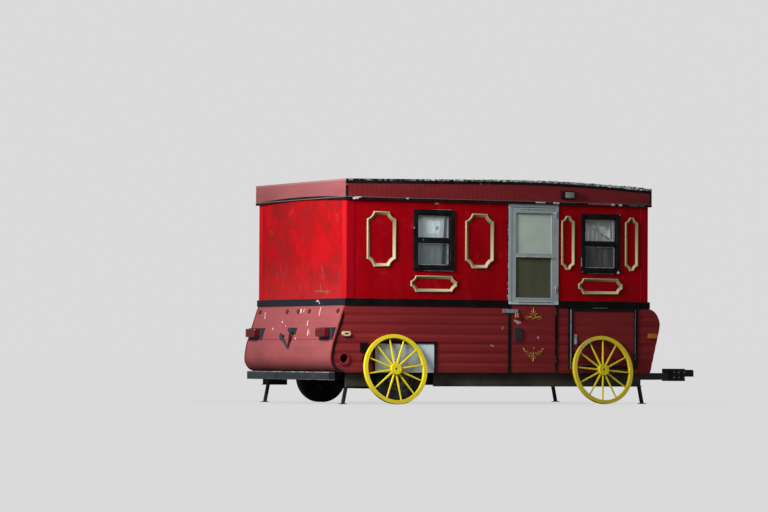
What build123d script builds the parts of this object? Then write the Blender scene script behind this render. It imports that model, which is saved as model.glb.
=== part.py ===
"""Vardo wagon: a hard-walled box trailer dressed as a painted living wagon.

Millimetres. +X points forward to the coupler, -Y is the kerb side with the door, +Z is up, and the
wheels, legs and leaning wagon wheels stand on z = 0. The origin is on the ground in the middle of
the trailer's length and width. Lengths named from_rear are measured from the rear upper wall.
"""
import os
from math import atan, cos, hypot, radians, sin

from build123d import *

os.makedirs("parts", exist_ok=True)

# Driving dimensions of the body
BODY_LENGTH = 3667
BODY_WIDTH = 2081
BODY_BOTTOM = 332
BELT_BOTTOM = 1032
BELT_HEIGHT = 71
UPPER_HEIGHT = 1030
WALL_THICKNESS = 40
SIDE_THICKNESS = 30
SHEET_THICKNESS = 22
FLOOR_THICKNESS = 20
SEAT_GAP = 0.3
DOOR_GAP = 5

# Side outline of the lower body, from the rear wall and the ground
REAR_TOP_SET = 15
REAR_SEAM_SET = 137
REAR_SEAM_HEIGHT = 672
REAR_BULGE_SET = 174
REAR_BULGE_HEIGHT = 480
REAR_ROLL_SET = 30
NOSE_TOP_SET = 20
NOSE_SET = 154
NOSE_HEIGHT = 810
FRONT_FOOT_SET = 38
SHEET_RETURN = 10
RIB_PITCH = 100
RIB_VALLEY = 60
RIB_DEPTH = 5
DOOR_RIB_DEPTH = 2.5
BELT_PROUD = 8
EDGE_TRIM_WIDTH = 28
EDGE_TRIM_PROUD = 3
CORNER_BOARD_WIDTH = 92
CORNER_BOARD_PROUD = 4

# Roof
ROOF_LIP = 30
ROOF_BAND_THICKNESS = 45
ROOF_SKIN_THICKNESS = 18
ROOF_SKIN_LIP = 4
ROOF_REAR_HEIGHT = 215
ROOF_CROWN_HEIGHT = 245
ROOF_CROWN_FROM_REAR = 1700
ROOF_FRONT_HEIGHT = 192
ROOF_END_BOW = 26
TRIM_WIDTH = 30
TRIM_PROUD = 4
CORNER_TRIM_WIDTH = 24

# Side door
DOOR_WIDTH = 611
DOOR_TO_FRONT = 1122
DOOR_FROM_REAR = BODY_LENGTH - DOOR_TO_FRONT - DOOR_WIDTH
JAMB_WIDTH = 30
JAMB_PROUD = 4
STORM_SILL_HEIGHT = 1062
STORM_FRAME_WIDTH = 35
STORM_FRAME_SILL = 20
STORM_FRAME_PROUD = 10
STORM_LEAF_PROUD = 8
STORM_LEAF_THICKNESS = 24
STORM_STILE = 47
STORM_TOP_RAIL = 62
STORM_BOTTOM_RAIL = 48
STORM_MID_RAIL_HEIGHT = 1559
STORM_MID_RAIL = 48
PANE_THICKNESS = 4
HINGE_KNUCKLE_RADIUS = 6
HINGE_PIN_RADIUS = 3
HINGE_PLATE_WIDTH = 20
HINGE_LENGTH = 70
HINGE_PIN_LENGTH = 24
HINGE_PLAY = 0.5
RUNNING_CLEARANCE = 0.05

# Hatch and wheel openings in the lower sides
HATCH_WIDTH = 768
HATCH_TO_FRONT = 167
HATCH_FROM_REAR = BODY_LENGTH - HATCH_TO_FRONT - HATCH_WIDTH
HATCH_BOTTOM = 411
HATCH_HEIGHT = 587
HATCH_FRAME_REAR = 58
HATCH_FRAME_FRONT = 46
HATCH_FRAME_TOP = 33
HATCH_FRAME_BOTTOM = 32
HATCH_FRAME_PROUD = 8
SKIRT_FROM_REAR = 313
SKIRT_WIDTH = 750
SKIRT_TOP = 658
SKIRT_TRIM = 24
SKIRT_TRIM_PROUD = 10
SKIRT_PROUD = 4

# Windows, two on each side: one between the rear and the door, one at a distance from the front
WINDOW_WIDTH = 489
REAR_WINDOW_SHARE = 0.544
WINDOW_TO_FRONT = 351
WINDOW_STARTS = (
    (DOOR_FROM_REAR - WINDOW_WIDTH) * REAR_WINDOW_SHARE,
    BODY_LENGTH - WINDOW_TO_FRONT - WINDOW_WIDTH,
)
WINDOW_BOTTOM = 1404
WINDOW_HEIGHT = 642
WINDOW_TRIM = 46
WINDOW_TRIM_PROUD = 15
SASH_WIDTH = 14
SASH_DEPTH = 30
SASH_SET_IN = 4
MEETING_RAIL = 30
CURTAIN_THICKNESS = 6
CURTAIN_OVERLAP = 14

# Picture mouldings: a tall one in each bay of the wall between openings, a low one under each window
BAYS = (
    (0, WINDOW_STARTS[0]),
    (WINDOW_STARTS[0] + WINDOW_WIDTH, DOOR_FROM_REAR),
    (DOOR_FROM_REAR + DOOR_WIDTH, WINDOW_STARTS[1]),
    (WINDOW_STARTS[1] + WINDOW_WIDTH, BODY_LENGTH),
)
# Each tall moulding's rear margin, front margin, corner hollow as a share of its width, band width
TALL_MOULDINGS = (
    (235, 209, 0.234, 36),
    (133, 183, 0.234, 36),
    (37, 83, 0.34, 30),
    (63, 127, 0.34, 30),
)
TALL_MOULDING_BOTTOM = 1437
TALL_MOULDING_HEIGHT = 579
LOW_MOULDING_OVERHANG = 32
LOW_MOULDING_BOTTOM = 1180
LOW_MOULDING_HEIGHT = 171
LOW_MOULDING_COVE = 58
LOW_MOULDING_BAND = 34
MOULDING_PROUD = 16
COVE_CENTRE_OUT = 0.35

# Chassis
RAIL_HEIGHT = 75
RAIL_WIDTH = 50
RAIL_INSET = 300
TONGUE_UNDER_BODY = 517
TONGUE_REACH = 893
TONGUE_START_FROM_REAR = BODY_LENGTH - TONGUE_UNDER_BODY
TONGUE_END_FROM_REAR = BODY_LENGTH + TONGUE_REACH
TONGUE_TIP_GAP = 60
TONGUE_HEAD_OVERLAP = 70
TONGUE_HEAD_LENGTH = 276
TONGUE_HEAD_BOTTOM = 243
TONGUE_HEAD_HEIGHT = 138
TONGUE_HEAD_WIDTH = 190
COUPLER_REACH = 1245
COUPLER_TIP_FROM_REAR = BODY_LENGTH + COUPLER_REACH
COUPLER_WIDTH = 84
COUPLER_BOTTOM = 292
COUPLER_HEIGHT = 78
BALL_SOCKET_RADIUS = 25.7
BALL_SOCKET_DEPTH = 40
CHAIN_HOLE_RADIUS = 8
CHAIN_HOLE_SPACING = 130
CHAIN_HOLE_SET = 24
CROSS_MEMBER_SHARES = (0.313, 0.477, 0.641, 0.805)
REAR_CROSS_MEMBER = 100
CROSS_MEMBER_LENGTH = 50
SILL_HEIGHT = 145
SILL_WIDTH = 40
SILL_INSET = 25
SILL_WALL = 5
SILL_REAR_GAP = 20
SILL_FRONT_GAP = 47
BUMPER_REAR_SET = 170
BUMPER_DEPTH = 70
BUMPER_BOTTOM = 250
BUMPER_HEIGHT = 86
BUMPER_END_INSET = 60

# Axle, springs and road wheels
AXLE_FROM_REAR = 686
TYRE_RADIUS = 280
TYRE_WIDTH = 140
TYRE_INSET = 70
RIM_RADIUS = 152
RIM_WALL = 6
TYRE_SHOULDER = 30
TREAD_WIDTH = 104
BEAD_WIDTH = 110
DISC_THICKNESS = 6
DISC_INSET = 80
DRUM_RADIUS = 90
DRUM_WIDTH = 42
HUB_RADIUS = 34
HUB_CAP_LENGTH = 20
SPINDLE_RADIUS = 15
BEAM_RADIUS = 22
BEAM_HEIGHT = 178
DROP_THICKNESS = 30
DROP_WIDTH = 60
DROP_GAP = 15
LEAF_THICKNESS = 9
LEAF_WIDTH = 45
LEAF_HALF_LENGTHS = (300, 170)
LEAF_CAMBER = 20
EYE_RADIUS = 11
HANGER_WALL = 6
HANGER_LENGTH = 40
BOX_WALL = 3
BOX_TOP = 602
BOX_HALF_LENGTH = 330
BOX_WIDTH = 210

# Stabiliser legs
LEG_INSET = 112
LEG_REAR_SET = 80
LEG_FRONT_SET = 57
LEG_PIVOTS = (LEG_REAR_SET, BODY_LENGTH - LEG_FRONT_SET)
LEG_PIVOT_HEIGHT = 290
LEG_SPLAY = 60
LEG_WIDTH = 40
LEG_THICKNESS = 26
LEG_HEAD_RADIUS = 18
LEG_PIN_RADIUS = 8
FOOT_LENGTH = 60
FOOT_WIDTH = 74
FOOT_THICKNESS = 8
LEG_BRACKET_WALL = 4
LEG_BRACKET_LENGTH = 44
LEG_BRACKET_DROP = 67
LEG_STOP_THICKNESS = 3.7
LEG_SIDE_CLEARANCE = 0.5

# Wagon wheels leaning on the kerb side
REAR_WHEEL_PLACE = 542
FRONT_WHEEL_TO_FRONT = 603
WHEEL_TURNS = (8, -5)
WAGON_WHEELS = tuple(zip((REAR_WHEEL_PLACE, BODY_LENGTH - FRONT_WHEEL_TO_FRONT), WHEEL_TURNS))
WAGON_RADIUS = 368
WAGON_RIM_DEPTH = 40
WAGON_RIM_WIDTH = 38
WAGON_LEAN = 8.5
WAGON_HUB_RADIUS = 60
WAGON_HUB_LENGTH = 64
WAGON_HUB_BORE = 13.5
SPOKE_COUNT = 12
SPOKE_HUB_SIZE = (21, 20)
SPOKE_RIM_SIZE = (15, 14)
SPOKE_CHAMFER = 3.5
TENON_SIZE = 10
TENON_LENGTH = 14

# Lamps and fittings
LENS_INSET = 90
LENS_WIDTH = 220
LENS_HEIGHT = 90
LENS_DEPTH = 66
LENS_BOTTOM = 702
LAMP_BRACKET_SET = 142
LAMP_BRACKET_BOTTOM = 674
LAMP_BRACKET_HEIGHT = 126
LAMP_BRACKET_OVERHANG = 45
PLATE_LAMP_WIDTH = 90
PLATE_LAMP_DEPTH = 24
PLATE_LAMP_BOTTOM = 728
PLATE_LAMP_HEIGHT = 72
CLEARANCE_LAMP_OFFSETS = (-930, -266, 0, 266, 930)
CLEARANCE_LAMP_HEIGHT = 972
CLEARANCE_LAMP_RADIUS = 22
CLEARANCE_LAMP_DEPTH = 16
ARM_FOOT = (0, 578)
ARM_HEAD = (175, 708)
ARM_START = (-45, 740)
ARM_WIDTH = 34
ARM_THICKNESS = 10
ARM_HEAD_RADIUS = 34
ARM_STAND_OFF = 40
PORT_FROM_REAR = -26
PORT_HEIGHT = 476
PORT_RADIUS = 68
PORT_HOLE_RADIUS = 46
PORT_PROUD = 12
INLET_FROM_REAR = 234
INLET_RADIUS = 44
VENT_FROM_REAR = 163
VENT_WIDTH = 99
VENT_BOTTOM = 540
VENT_HEIGHT = 102
VENT_PROUD = 8
VENT_SLATS = 5
MARKER_FROM_REAR = -2
MARKER_HEIGHT = 735
MARKER_WIDTH = 100
MARKER_TALL = 50
MARKER_PROUD = 18
AMBER_AHEAD = 59
AMBER_FROM_REAR = BODY_LENGTH + AMBER_AHEAD
AMBER_HEIGHT = 736
AMBER_WIDTH = 107
AMBER_TALL = 50
PORCH_FROM_DOOR = 21
PORCH_FROM_REAR = DOOR_FROM_REAR + DOOR_WIDTH + PORCH_FROM_DOOR
PORCH_WIDTH = 156
PORCH_BOTTOM = 2199
PORCH_HEIGHT = 78
PORCH_DEPTH = 50
LOCK_FROM_DOOR = 76
LOCK_FROM_REAR = DOOR_FROM_REAR + LOCK_FROM_DOOR
LOCK_WIDTH = 87
LOCK_BOTTOM = 683
LOCK_HEIGHT = 127
LOCK_PROUD = 14
HASP_FROM_DOOR = 76
HASP_FROM_REAR = DOOR_FROM_REAR - HASP_FROM_DOOR
HASP_WIDTH = 189
HASP_BOTTOM = 970
HASP_HEIGHT = 40
HASP_THICKNESS = 4
PADLOCK_WIDTH = 38
PADLOCK_HEIGHT = 42
PADLOCK_DEPTH = 18
SHACKLE_RADIUS = 3
LATCH_FROM_HATCH = 13
LATCH_FROM_REAR = HATCH_FROM_REAR + LATCH_FROM_HATCH
LATCH_WIDTH = 34
LATCH_BOTTOM = 640
LATCH_HEIGHT = 107
LATCH_PROUD = 20

# Places worked out from the sizes above
LEAN = radians(WAGON_LEAN)
REAR_REACH = LAMP_BRACKET_SET + LENS_DEPTH
KERB_REACH = 2 * WAGON_RADIUS * sin(LEAN) + WAGON_RIM_WIDTH * cos(LEAN) + SEAT_GAP
FAR_REACH = ROOF_LIP + ROOF_SKIN_LIP
REAR_X = -(COUPLER_TIP_FROM_REAR - REAR_REACH) / 2
FRONT_X = REAR_X + BODY_LENGTH
MID_Y = (KERB_REACH - FAR_REACH) / 2
KERB_Y = MID_Y - BODY_WIDTH / 2
FAR_Y = MID_Y + BODY_WIDTH / 2
BELT_TOP = BELT_BOTTOM + BELT_HEIGHT
WALL_TOP = BELT_TOP + UPPER_HEIGHT
RAIL_BOTTOM = BODY_BOTTOM - RAIL_HEIGHT
AXLE_X = REAR_X + AXLE_FROM_REAR
DOOR_REAR_X = REAR_X + DOOR_FROM_REAR
DOOR_FRONT_X = DOOR_REAR_X + DOOR_WIDTH
STORM_HINGE_X = DOOR_FRONT_X - STORM_FRAME_WIDTH - DOOR_GAP / 2
STORM_HINGE_Y = KERB_Y - STORM_FRAME_PROUD - HINGE_KNUCKLE_RADIUS
LOWER_HINGE_X = DOOR_FRONT_X - JAMB_WIDTH - DOOR_GAP / 2
LOWER_HINGE_Y = KERB_Y - JAMB_PROUD - HINGE_KNUCKLE_RADIUS
CENTRE = Plane.XZ.offset(-MID_Y)
KERB_FACE = Plane.XZ.offset(-KERB_Y)
KERB_INSIDE = Plane.XZ.offset(-KERB_Y - SIDE_THICKNESS)
INNER_WIDTH = BODY_WIDTH - 2 * SIDE_THICKNESS


def block(x_span, y_span, z_span, mode=Mode.ADD):
    """A block between two values along each axis."""
    middle = [sum(span) / 2 for span in (x_span, y_span, z_span)]
    with Locations(tuple(middle)):
        Box(x_span[1] - x_span[0], y_span[1] - y_span[0], z_span[1] - z_span[0], mode=mode)


def panel(from_rear, bottom, width, height, mode=Mode.ADD):
    """A rectangle on a side face, placed by its lower rear corner."""
    with Locations((REAR_X + from_rear + width / 2, bottom + height / 2)):
        Rectangle(width, height, mode=mode)


def frame_bars(from_rear, bottom, width, height, sides, top, base):
    """Four bars of a frame on a face, with hairline butt joints; sides is (rear, front)."""
    rear, front = sides
    panel(from_rear, bottom, rear, height)
    panel(from_rear + width - front, bottom, front, height)
    inner = width - rear - front - 2 * SEAT_GAP
    if top:
        panel(from_rear + rear + SEAT_GAP, bottom + height - top, inner, top)
    if base:
        panel(from_rear + rear + SEAT_GAP, bottom, inner, base)


def body_outline():
    """The lower body's side outline: sloped rear, rolled bulge, flat bottom and rounded nose."""
    rear_top = (REAR_X - REAR_TOP_SET, BELT_BOTTOM)
    seam = (REAR_X - REAR_SEAM_SET, REAR_SEAM_HEIGHT)
    bulge = (REAR_X - REAR_BULGE_SET, REAR_BULGE_HEIGHT)
    roll = (REAR_X - REAR_ROLL_SET, BODY_BOTTOM)
    foot = (FRONT_X + FRONT_FOOT_SET, BODY_BOTTOM)
    nose = (FRONT_X + NOSE_SET, NOSE_HEIGHT)
    nose_top = (FRONT_X + NOSE_TOP_SET, BELT_BOTTOM)
    with BuildLine(mode=Mode.PRIVATE) as outline:
        slope = Line(rear_top, seam)
        swell = TangentArc(seam, bulge, tangent=slope % 1)
        TangentArc(bulge, roll, tangent=swell % 1)
        Line(roll, foot)
        rise = Line(foot, nose)
        TangentArc(nose, nose_top, tangent=rise % 1)
        Line(nose_top, rear_top)
    make_face(outline.edges())


def ribs(face_y, outward, depth):
    """Cuts a shallow valley every RIB_PITCH below the belt, which leaves wide horizontal ribs."""
    count = int((BELT_BOTTOM - BODY_BOTTOM) / RIB_PITCH)
    start = Plane.YZ.offset(REAR_X - REAR_BULGE_SET - SHEET_RETURN)
    valley_y = face_y - outward * depth
    mouth_y = face_y + outward * depth / 4
    mouth = RIB_VALLEY * 5 / 8
    with BuildSketch(start, mode=Mode.PRIVATE) as waste:
        for step in range(count + 1):
            height = BELT_BOTTOM - step * RIB_PITCH
            with BuildLine():
                Polyline((valley_y, height), (mouth_y, height + mouth), (mouth_y, height - mouth), close=True)
            make_face()
    length = BODY_LENGTH + REAR_BULGE_SET + NOSE_SET + 2 * SHEET_RETURN
    extrude(waste.sketch, amount=length, mode=Mode.SUBTRACT)


def rear_sheet_x(height):
    """Where the sloped part of the rear sheet stands at a height."""
    share = (BELT_BOTTOM - height) / (BELT_BOTTOM - REAR_SEAM_HEIGHT)
    return REAR_X - REAR_TOP_SET - share * (REAR_SEAM_SET - REAR_TOP_SET)


def roof_top_line(drop):
    """The roof's top edge over the side: a straight rear part and a falling arc."""
    start = (REAR_X - ROOF_LIP, WALL_TOP + ROOF_REAR_HEIGHT - drop)
    crown = (REAR_X + ROOF_CROWN_FROM_REAR, WALL_TOP + ROOF_CROWN_HEIGHT - drop)
    end = (FRONT_X + ROOF_LIP, WALL_TOP + ROOF_FRONT_HEIGHT - drop)
    straight = Line(start, crown)
    TangentArc(crown, end, tangent=straight % 1)
    return start, end


# Chassis: straight main rails, beams that close in to the tongue, cross members and outer sills
rail_y = KERB_Y + RAIL_INSET
rail_faces = (rail_y - RAIL_WIDTH / 2, rail_y + RAIL_WIDTH / 2)
rail_x = (REAR_X - BUMPER_REAR_SET + BUMPER_DEPTH, REAR_X + TONGUE_START_FROM_REAR)
with BuildPart() as main_rails:
    block(rail_x, rail_faces, (RAIL_BOTTOM, BODY_BOTTOM))
    mirror(about=CENTRE)

with BuildPart() as tongue_beams:
    with BuildSketch(Plane.XY.offset(RAIL_BOTTOM)):
        with BuildLine():
            Polyline(
                (rail_x[1], rail_faces[0]),
                (REAR_X + TONGUE_END_FROM_REAR, MID_Y - TONGUE_TIP_GAP / 2 - RAIL_WIDTH),
                (REAR_X + TONGUE_END_FROM_REAR, MID_Y - TONGUE_TIP_GAP / 2),
                (rail_x[1], rail_faces[1]),
                close=True,
            )
        make_face()
    extrude(amount=RAIL_HEIGHT)
    mirror(about=CENTRE)

with BuildPart() as cross_members:
    rail_span = (KERB_Y + RAIL_INSET + RAIL_WIDTH / 2, FAR_Y - RAIL_INSET - RAIL_WIDTH / 2)
    outer_span = (KERB_Y + SILL_INSET + SILL_WIDTH, KERB_Y + RAIL_INSET - RAIL_WIDTH / 2)
    for share in CROSS_MEMBER_SHARES:
        start_x = REAR_X + share * BODY_LENGTH
        x_span = (start_x, start_x + CROSS_MEMBER_LENGTH)
        block(x_span, rail_span, (RAIL_BOTTOM, BODY_BOTTOM))
        block(x_span, outer_span, (RAIL_BOTTOM, BODY_BOTTOM))
    mirror(about=CENTRE)
    x_span = (REAR_X + REAR_CROSS_MEMBER, REAR_X + REAR_CROSS_MEMBER + CROSS_MEMBER_LENGTH)
    block(x_span, rail_span, (RAIL_BOTTOM, BODY_BOTTOM))

sill_runs = (
    (SILL_REAR_GAP, SKIRT_FROM_REAR),
    (SKIRT_FROM_REAR + SKIRT_WIDTH, BODY_LENGTH - SILL_FRONT_GAP),
)
with BuildPart() as side_sills:
    for start, end in sill_runs:
        outer_y = KERB_Y + SILL_INSET
        inner_y = outer_y + SILL_WIDTH
        low = BODY_BOTTOM - SILL_HEIGHT
        with BuildSketch(Plane.YZ.offset(REAR_X + start)):
            with BuildLine():
                Polyline(
                    (outer_y, low),
                    (inner_y, low),
                    (inner_y, BODY_BOTTOM),
                    (outer_y, BODY_BOTTOM),
                    (outer_y, BODY_BOTTOM - SILL_WALL),
                    (inner_y - SILL_WALL, BODY_BOTTOM - SILL_WALL),
                    (inner_y - SILL_WALL, low + SILL_WALL),
                    (outer_y, low + SILL_WALL),
                    close=True,
                )
            make_face()
        extrude(amount=end - start)
    mirror(about=CENTRE)

with BuildPart() as tongue_head:
    head_start = REAR_X + TONGUE_END_FROM_REAR
    head_x = (head_start, head_start - TONGUE_HEAD_OVERLAP + TONGUE_HEAD_LENGTH)
    head_y = (MID_Y - TONGUE_HEAD_WIDTH / 2, MID_Y + TONGUE_HEAD_WIDTH / 2)
    head_z = (TONGUE_HEAD_BOTTOM, TONGUE_HEAD_BOTTOM + TONGUE_HEAD_HEIGHT)
    block(head_x, head_y, head_z)
    chamfer(tongue_head.edges().filter_by(Axis.Z).group_by(Axis.X)[-1], TONGUE_HEAD_WIDTH / 6)
    with Locations((head_x[0] + CHAIN_HOLE_SET, MID_Y, TONGUE_HEAD_BOTTOM)):
        with GridLocations(1, CHAIN_HOLE_SPACING, 1, 2):
            Cylinder(CHAIN_HOLE_RADIUS, 2 * TONGUE_HEAD_HEIGHT + 2, mode=Mode.SUBTRACT)

with BuildPart() as coupler:
    tip_x = REAR_X + COUPLER_TIP_FROM_REAR
    body_x = (head_x[1], tip_x - COUPLER_WIDTH / 2)
    top = COUPLER_BOTTOM + COUPLER_HEIGHT
    with BuildSketch(Plane.XY.offset(COUPLER_BOTTOM)):
        with Locations((tip_x - COUPLER_WIDTH / 2, MID_Y)):
            Circle(COUPLER_WIDTH / 2)
        with Locations((sum(body_x) / 2, MID_Y)):
            Rectangle(body_x[1] - body_x[0], COUPLER_WIDTH)
    extrude(amount=COUPLER_HEIGHT)
    chamfer(coupler.faces().sort_by(Axis.Z)[-1].edges(), COUPLER_WIDTH / 7)
    with Locations((tip_x - COUPLER_WIDTH / 2, MID_Y, COUPLER_BOTTOM + BALL_SOCKET_DEPTH / 2)):
        Cylinder(BALL_SOCKET_RADIUS, BALL_SOCKET_DEPTH, mode=Mode.SUBTRACT)

with BuildPart() as bumper:
    block(
        (REAR_X - BUMPER_REAR_SET, REAR_X - BUMPER_REAR_SET + BUMPER_DEPTH),
        (KERB_Y + BUMPER_END_INSET, FAR_Y - BUMPER_END_INSET),
        (BUMPER_BOTTOM, BUMPER_BOTTOM + BUMPER_HEIGHT),
    )
    fillet(bumper.edges().filter_by(Axis.Y), BUMPER_HEIGHT / 12)

# Floor and the boxes over the road wheels
box_x = (AXLE_X - BOX_HALF_LENGTH, AXLE_X + BOX_HALF_LENGTH)
box_y = (KERB_Y + SIDE_THICKNESS, KERB_Y + SIDE_THICKNESS + BOX_WIDTH)
with BuildPart() as floor_deck:
    full_y = (KERB_Y + SIDE_THICKNESS, FAR_Y - SIDE_THICKNESS)
    middle_y = (box_y[1], 2 * MID_Y - box_y[1])
    deck_z = (BODY_BOTTOM, BODY_BOTTOM + FLOOR_THICKNESS)
    block((REAR_X + SHEET_RETURN, box_x[0] - SEAT_GAP), full_y, deck_z)
    block(box_x, middle_y, deck_z)
    block((box_x[1] + SEAT_GAP, FRONT_X - SHEET_RETURN), full_y, deck_z)

with BuildPart() as wheel_boxes:
    end_z = (BODY_BOTTOM, BOX_TOP - BOX_WALL - SEAT_GAP)
    block(box_x, box_y, (BOX_TOP - BOX_WALL, BOX_TOP))
    block((box_x[0], box_x[0] + BOX_WALL), (box_y[0], box_y[1] - BOX_WALL - SEAT_GAP), end_z)
    block((box_x[1] - BOX_WALL, box_x[1]), (box_y[0], box_y[1] - BOX_WALL - SEAT_GAP), end_z)
    block(box_x, (box_y[1] - BOX_WALL, box_y[1]), end_z)
    mirror(about=CENTRE)

# Lower body
arch_from_rear = SKIRT_FROM_REAR + SKIRT_TRIM
arch_width = SKIRT_WIDTH - 2 * SKIRT_TRIM
arch_height = SKIRT_TOP - SKIRT_TRIM - BODY_BOTTOM
body_depth = BELT_BOTTOM - BODY_BOTTOM
with BuildPart() as lower_sides:
    with BuildSketch(KERB_FACE):
        body_outline()
        panel(DOOR_FROM_REAR, BODY_BOTTOM, DOOR_WIDTH, body_depth, Mode.SUBTRACT)
        panel(HATCH_FROM_REAR, HATCH_BOTTOM, HATCH_WIDTH, HATCH_HEIGHT, Mode.SUBTRACT)
        panel(arch_from_rear, BODY_BOTTOM, arch_width, arch_height, Mode.SUBTRACT)
        with Locations((REAR_X + PORT_FROM_REAR, PORT_HEIGHT)):
            Circle(PORT_HOLE_RADIUS, mode=Mode.SUBTRACT)
    extrude(amount=-SIDE_THICKNESS)
    with BuildSketch(Plane.XZ.offset(-FAR_Y + SIDE_THICKNESS)):
        body_outline()
        panel(arch_from_rear, BODY_BOTTOM, arch_width, arch_height, Mode.SUBTRACT)
    extrude(amount=-SIDE_THICKNESS)
    ribs(KERB_Y, -1, RIB_DEPTH)
    ribs(FAR_Y, 1, RIB_DEPTH)

with BuildPart() as lower_ends:
    rear_reach = REAR_BULGE_SET + SHEET_RETURN
    front_reach = NOSE_SET + NOSE_TOP_SET + SHEET_RETURN
    with BuildSketch(KERB_INSIDE):
        body_outline()
        offset(amount=-SHEET_THICKNESS, mode=Mode.SUBTRACT)
        middle_length = BODY_LENGTH - 2 * SHEET_RETURN
        panel(SHEET_RETURN, BODY_BOTTOM - 1, middle_length, body_depth + 2, Mode.SUBTRACT)
        full_length = BODY_LENGTH + rear_reach + front_reach
        with Locations(((REAR_X + FRONT_X) / 2, (BODY_BOTTOM + BELT_BOTTOM) / 2)):
            Rectangle(full_length, body_depth, mode=Mode.INTERSECT)
    extrude(amount=-INNER_WIDTH)

with BuildPart() as wheel_skirts:
    with BuildSketch(KERB_FACE.offset(SKIRT_PROUD)):
        panel(arch_from_rear, BODY_BOTTOM, arch_width, arch_height)
    extrude(amount=-SIDE_THICKNESS)
    mirror(about=CENTRE)

with BuildPart(mode=Mode.PRIVATE) as edge_strip:
    with BuildSketch(KERB_FACE):
        body_outline()
        offset(amount=-EDGE_TRIM_WIDTH, mode=Mode.SUBTRACT)
        strip_start = -REAR_BULGE_SET - EDGE_TRIM_WIDTH
        strip_end = -REAR_ROLL_SET
        strip_length = strip_end - strip_start
        strip_middle = (REAR_X + (strip_start + strip_end) / 2, (BODY_BOTTOM + BELT_BOTTOM) / 2)
        with Locations(strip_middle):
            Rectangle(strip_length, body_depth + 2, mode=Mode.INTERSECT)
    extrude(amount=EDGE_TRIM_PROUD)

with BuildPart() as side_trims:
    add(edge_strip.part)
    skirt_height = SKIRT_TOP - BODY_BOTTOM
    trim_pair = (SKIRT_TRIM, SKIRT_TRIM)
    with BuildSketch(KERB_FACE):
        frame_bars(SKIRT_FROM_REAR, BODY_BOTTOM, SKIRT_WIDTH, skirt_height, trim_pair, SKIRT_TRIM, 0)
    extrude(amount=SKIRT_TRIM_PROUD)
    mirror(about=CENTRE)
    frame_start = HATCH_FROM_REAR - HATCH_FRAME_REAR
    frame_bottom = HATCH_BOTTOM - HATCH_FRAME_BOTTOM
    frame_width = HATCH_WIDTH + HATCH_FRAME_REAR + HATCH_FRAME_FRONT
    frame_height = HATCH_HEIGHT + HATCH_FRAME_TOP + HATCH_FRAME_BOTTOM
    with BuildSketch(KERB_FACE):
        frame_bars(
            frame_start,
            frame_bottom,
            frame_width,
            frame_height,
            (HATCH_FRAME_REAR, HATCH_FRAME_FRONT),
            HATCH_FRAME_TOP,
            HATCH_FRAME_BOTTOM,
        )
    extrude(amount=HATCH_FRAME_PROUD)
    jamb_height = STORM_SILL_HEIGHT - BODY_BOTTOM
    for from_rear in (DOOR_FROM_REAR, DOOR_FROM_REAR + DOOR_WIDTH - JAMB_WIDTH):
        with BuildSketch(KERB_FACE.offset(JAMB_PROUD)):
            panel(from_rear, BODY_BOTTOM, JAMB_WIDTH, jamb_height)
        extrude(amount=-JAMB_PROUD - SIDE_THICKNESS)

with BuildPart() as hatch_panel:
    with BuildSketch(KERB_FACE):
        panel(HATCH_FROM_REAR, HATCH_BOTTOM, HATCH_WIDTH, HATCH_HEIGHT)
    extrude(amount=-SIDE_THICKNESS)
    ribs(KERB_Y, -1, DOOR_RIB_DEPTH)

# Black belt rail around the body, open at the door
belt_rear_x = REAR_X - REAR_TOP_SET - BELT_PROUD
belt_front_x = FRONT_X + NOSE_TOP_SET + BELT_PROUD
with BuildPart() as belt:
    belt_z = (BELT_BOTTOM, BELT_TOP)
    kerb_span = (KERB_Y - BELT_PROUD, KERB_Y + WALL_THICKNESS)
    far_span = (FAR_Y - WALL_THICKNESS, FAR_Y + BELT_PROUD)
    between = (kerb_span[1] + SEAT_GAP, far_span[0] - SEAT_GAP)
    block((belt_rear_x, DOOR_REAR_X), kerb_span, belt_z)
    block((DOOR_FRONT_X, belt_front_x), kerb_span, belt_z)
    block((belt_rear_x, belt_front_x), far_span, belt_z)
    block((belt_rear_x, REAR_X + WALL_THICKNESS), between, belt_z)
    block((FRONT_X - WALL_THICKNESS, belt_front_x), between, belt_z)

# Upper walls
window_hole = WINDOW_WIDTH - 2 * WINDOW_TRIM
window_hole_height = WINDOW_HEIGHT - 2 * WINDOW_TRIM
with BuildPart() as upper_sides:
    for face_y, has_door in ((KERB_Y, True), (FAR_Y - WALL_THICKNESS, False)):
        with BuildSketch(Plane.XZ.offset(-face_y)):
            panel(0, BELT_TOP, BODY_LENGTH, UPPER_HEIGHT)
            if has_door:
                panel(DOOR_FROM_REAR, BELT_TOP, DOOR_WIDTH, UPPER_HEIGHT, Mode.SUBTRACT)
            for start in WINDOW_STARTS:
                hole_start = start + WINDOW_TRIM
                hole_bottom = WINDOW_BOTTOM + WINDOW_TRIM
                panel(hole_start, hole_bottom, window_hole, window_hole_height, Mode.SUBTRACT)
        extrude(amount=-WALL_THICKNESS)

with BuildPart() as upper_ends:
    for plane_x, bow in ((REAR_X, ROOF_END_BOW), (FRONT_X - WALL_THICKNESS, 0)):
        with BuildSketch(Plane.YZ.offset(plane_x)):
            left = (KERB_Y + WALL_THICKNESS, WALL_TOP)
            right = (FAR_Y - WALL_THICKNESS, WALL_TOP)
            with BuildLine():
                Polyline(left, (left[0], BELT_TOP), (right[0], BELT_TOP), right)
                if bow:
                    ThreePointArc(right, (MID_Y, WALL_TOP + bow), left)
                else:
                    Line(right, left)
            make_face()
        extrude(amount=WALL_THICKNESS)

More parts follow.
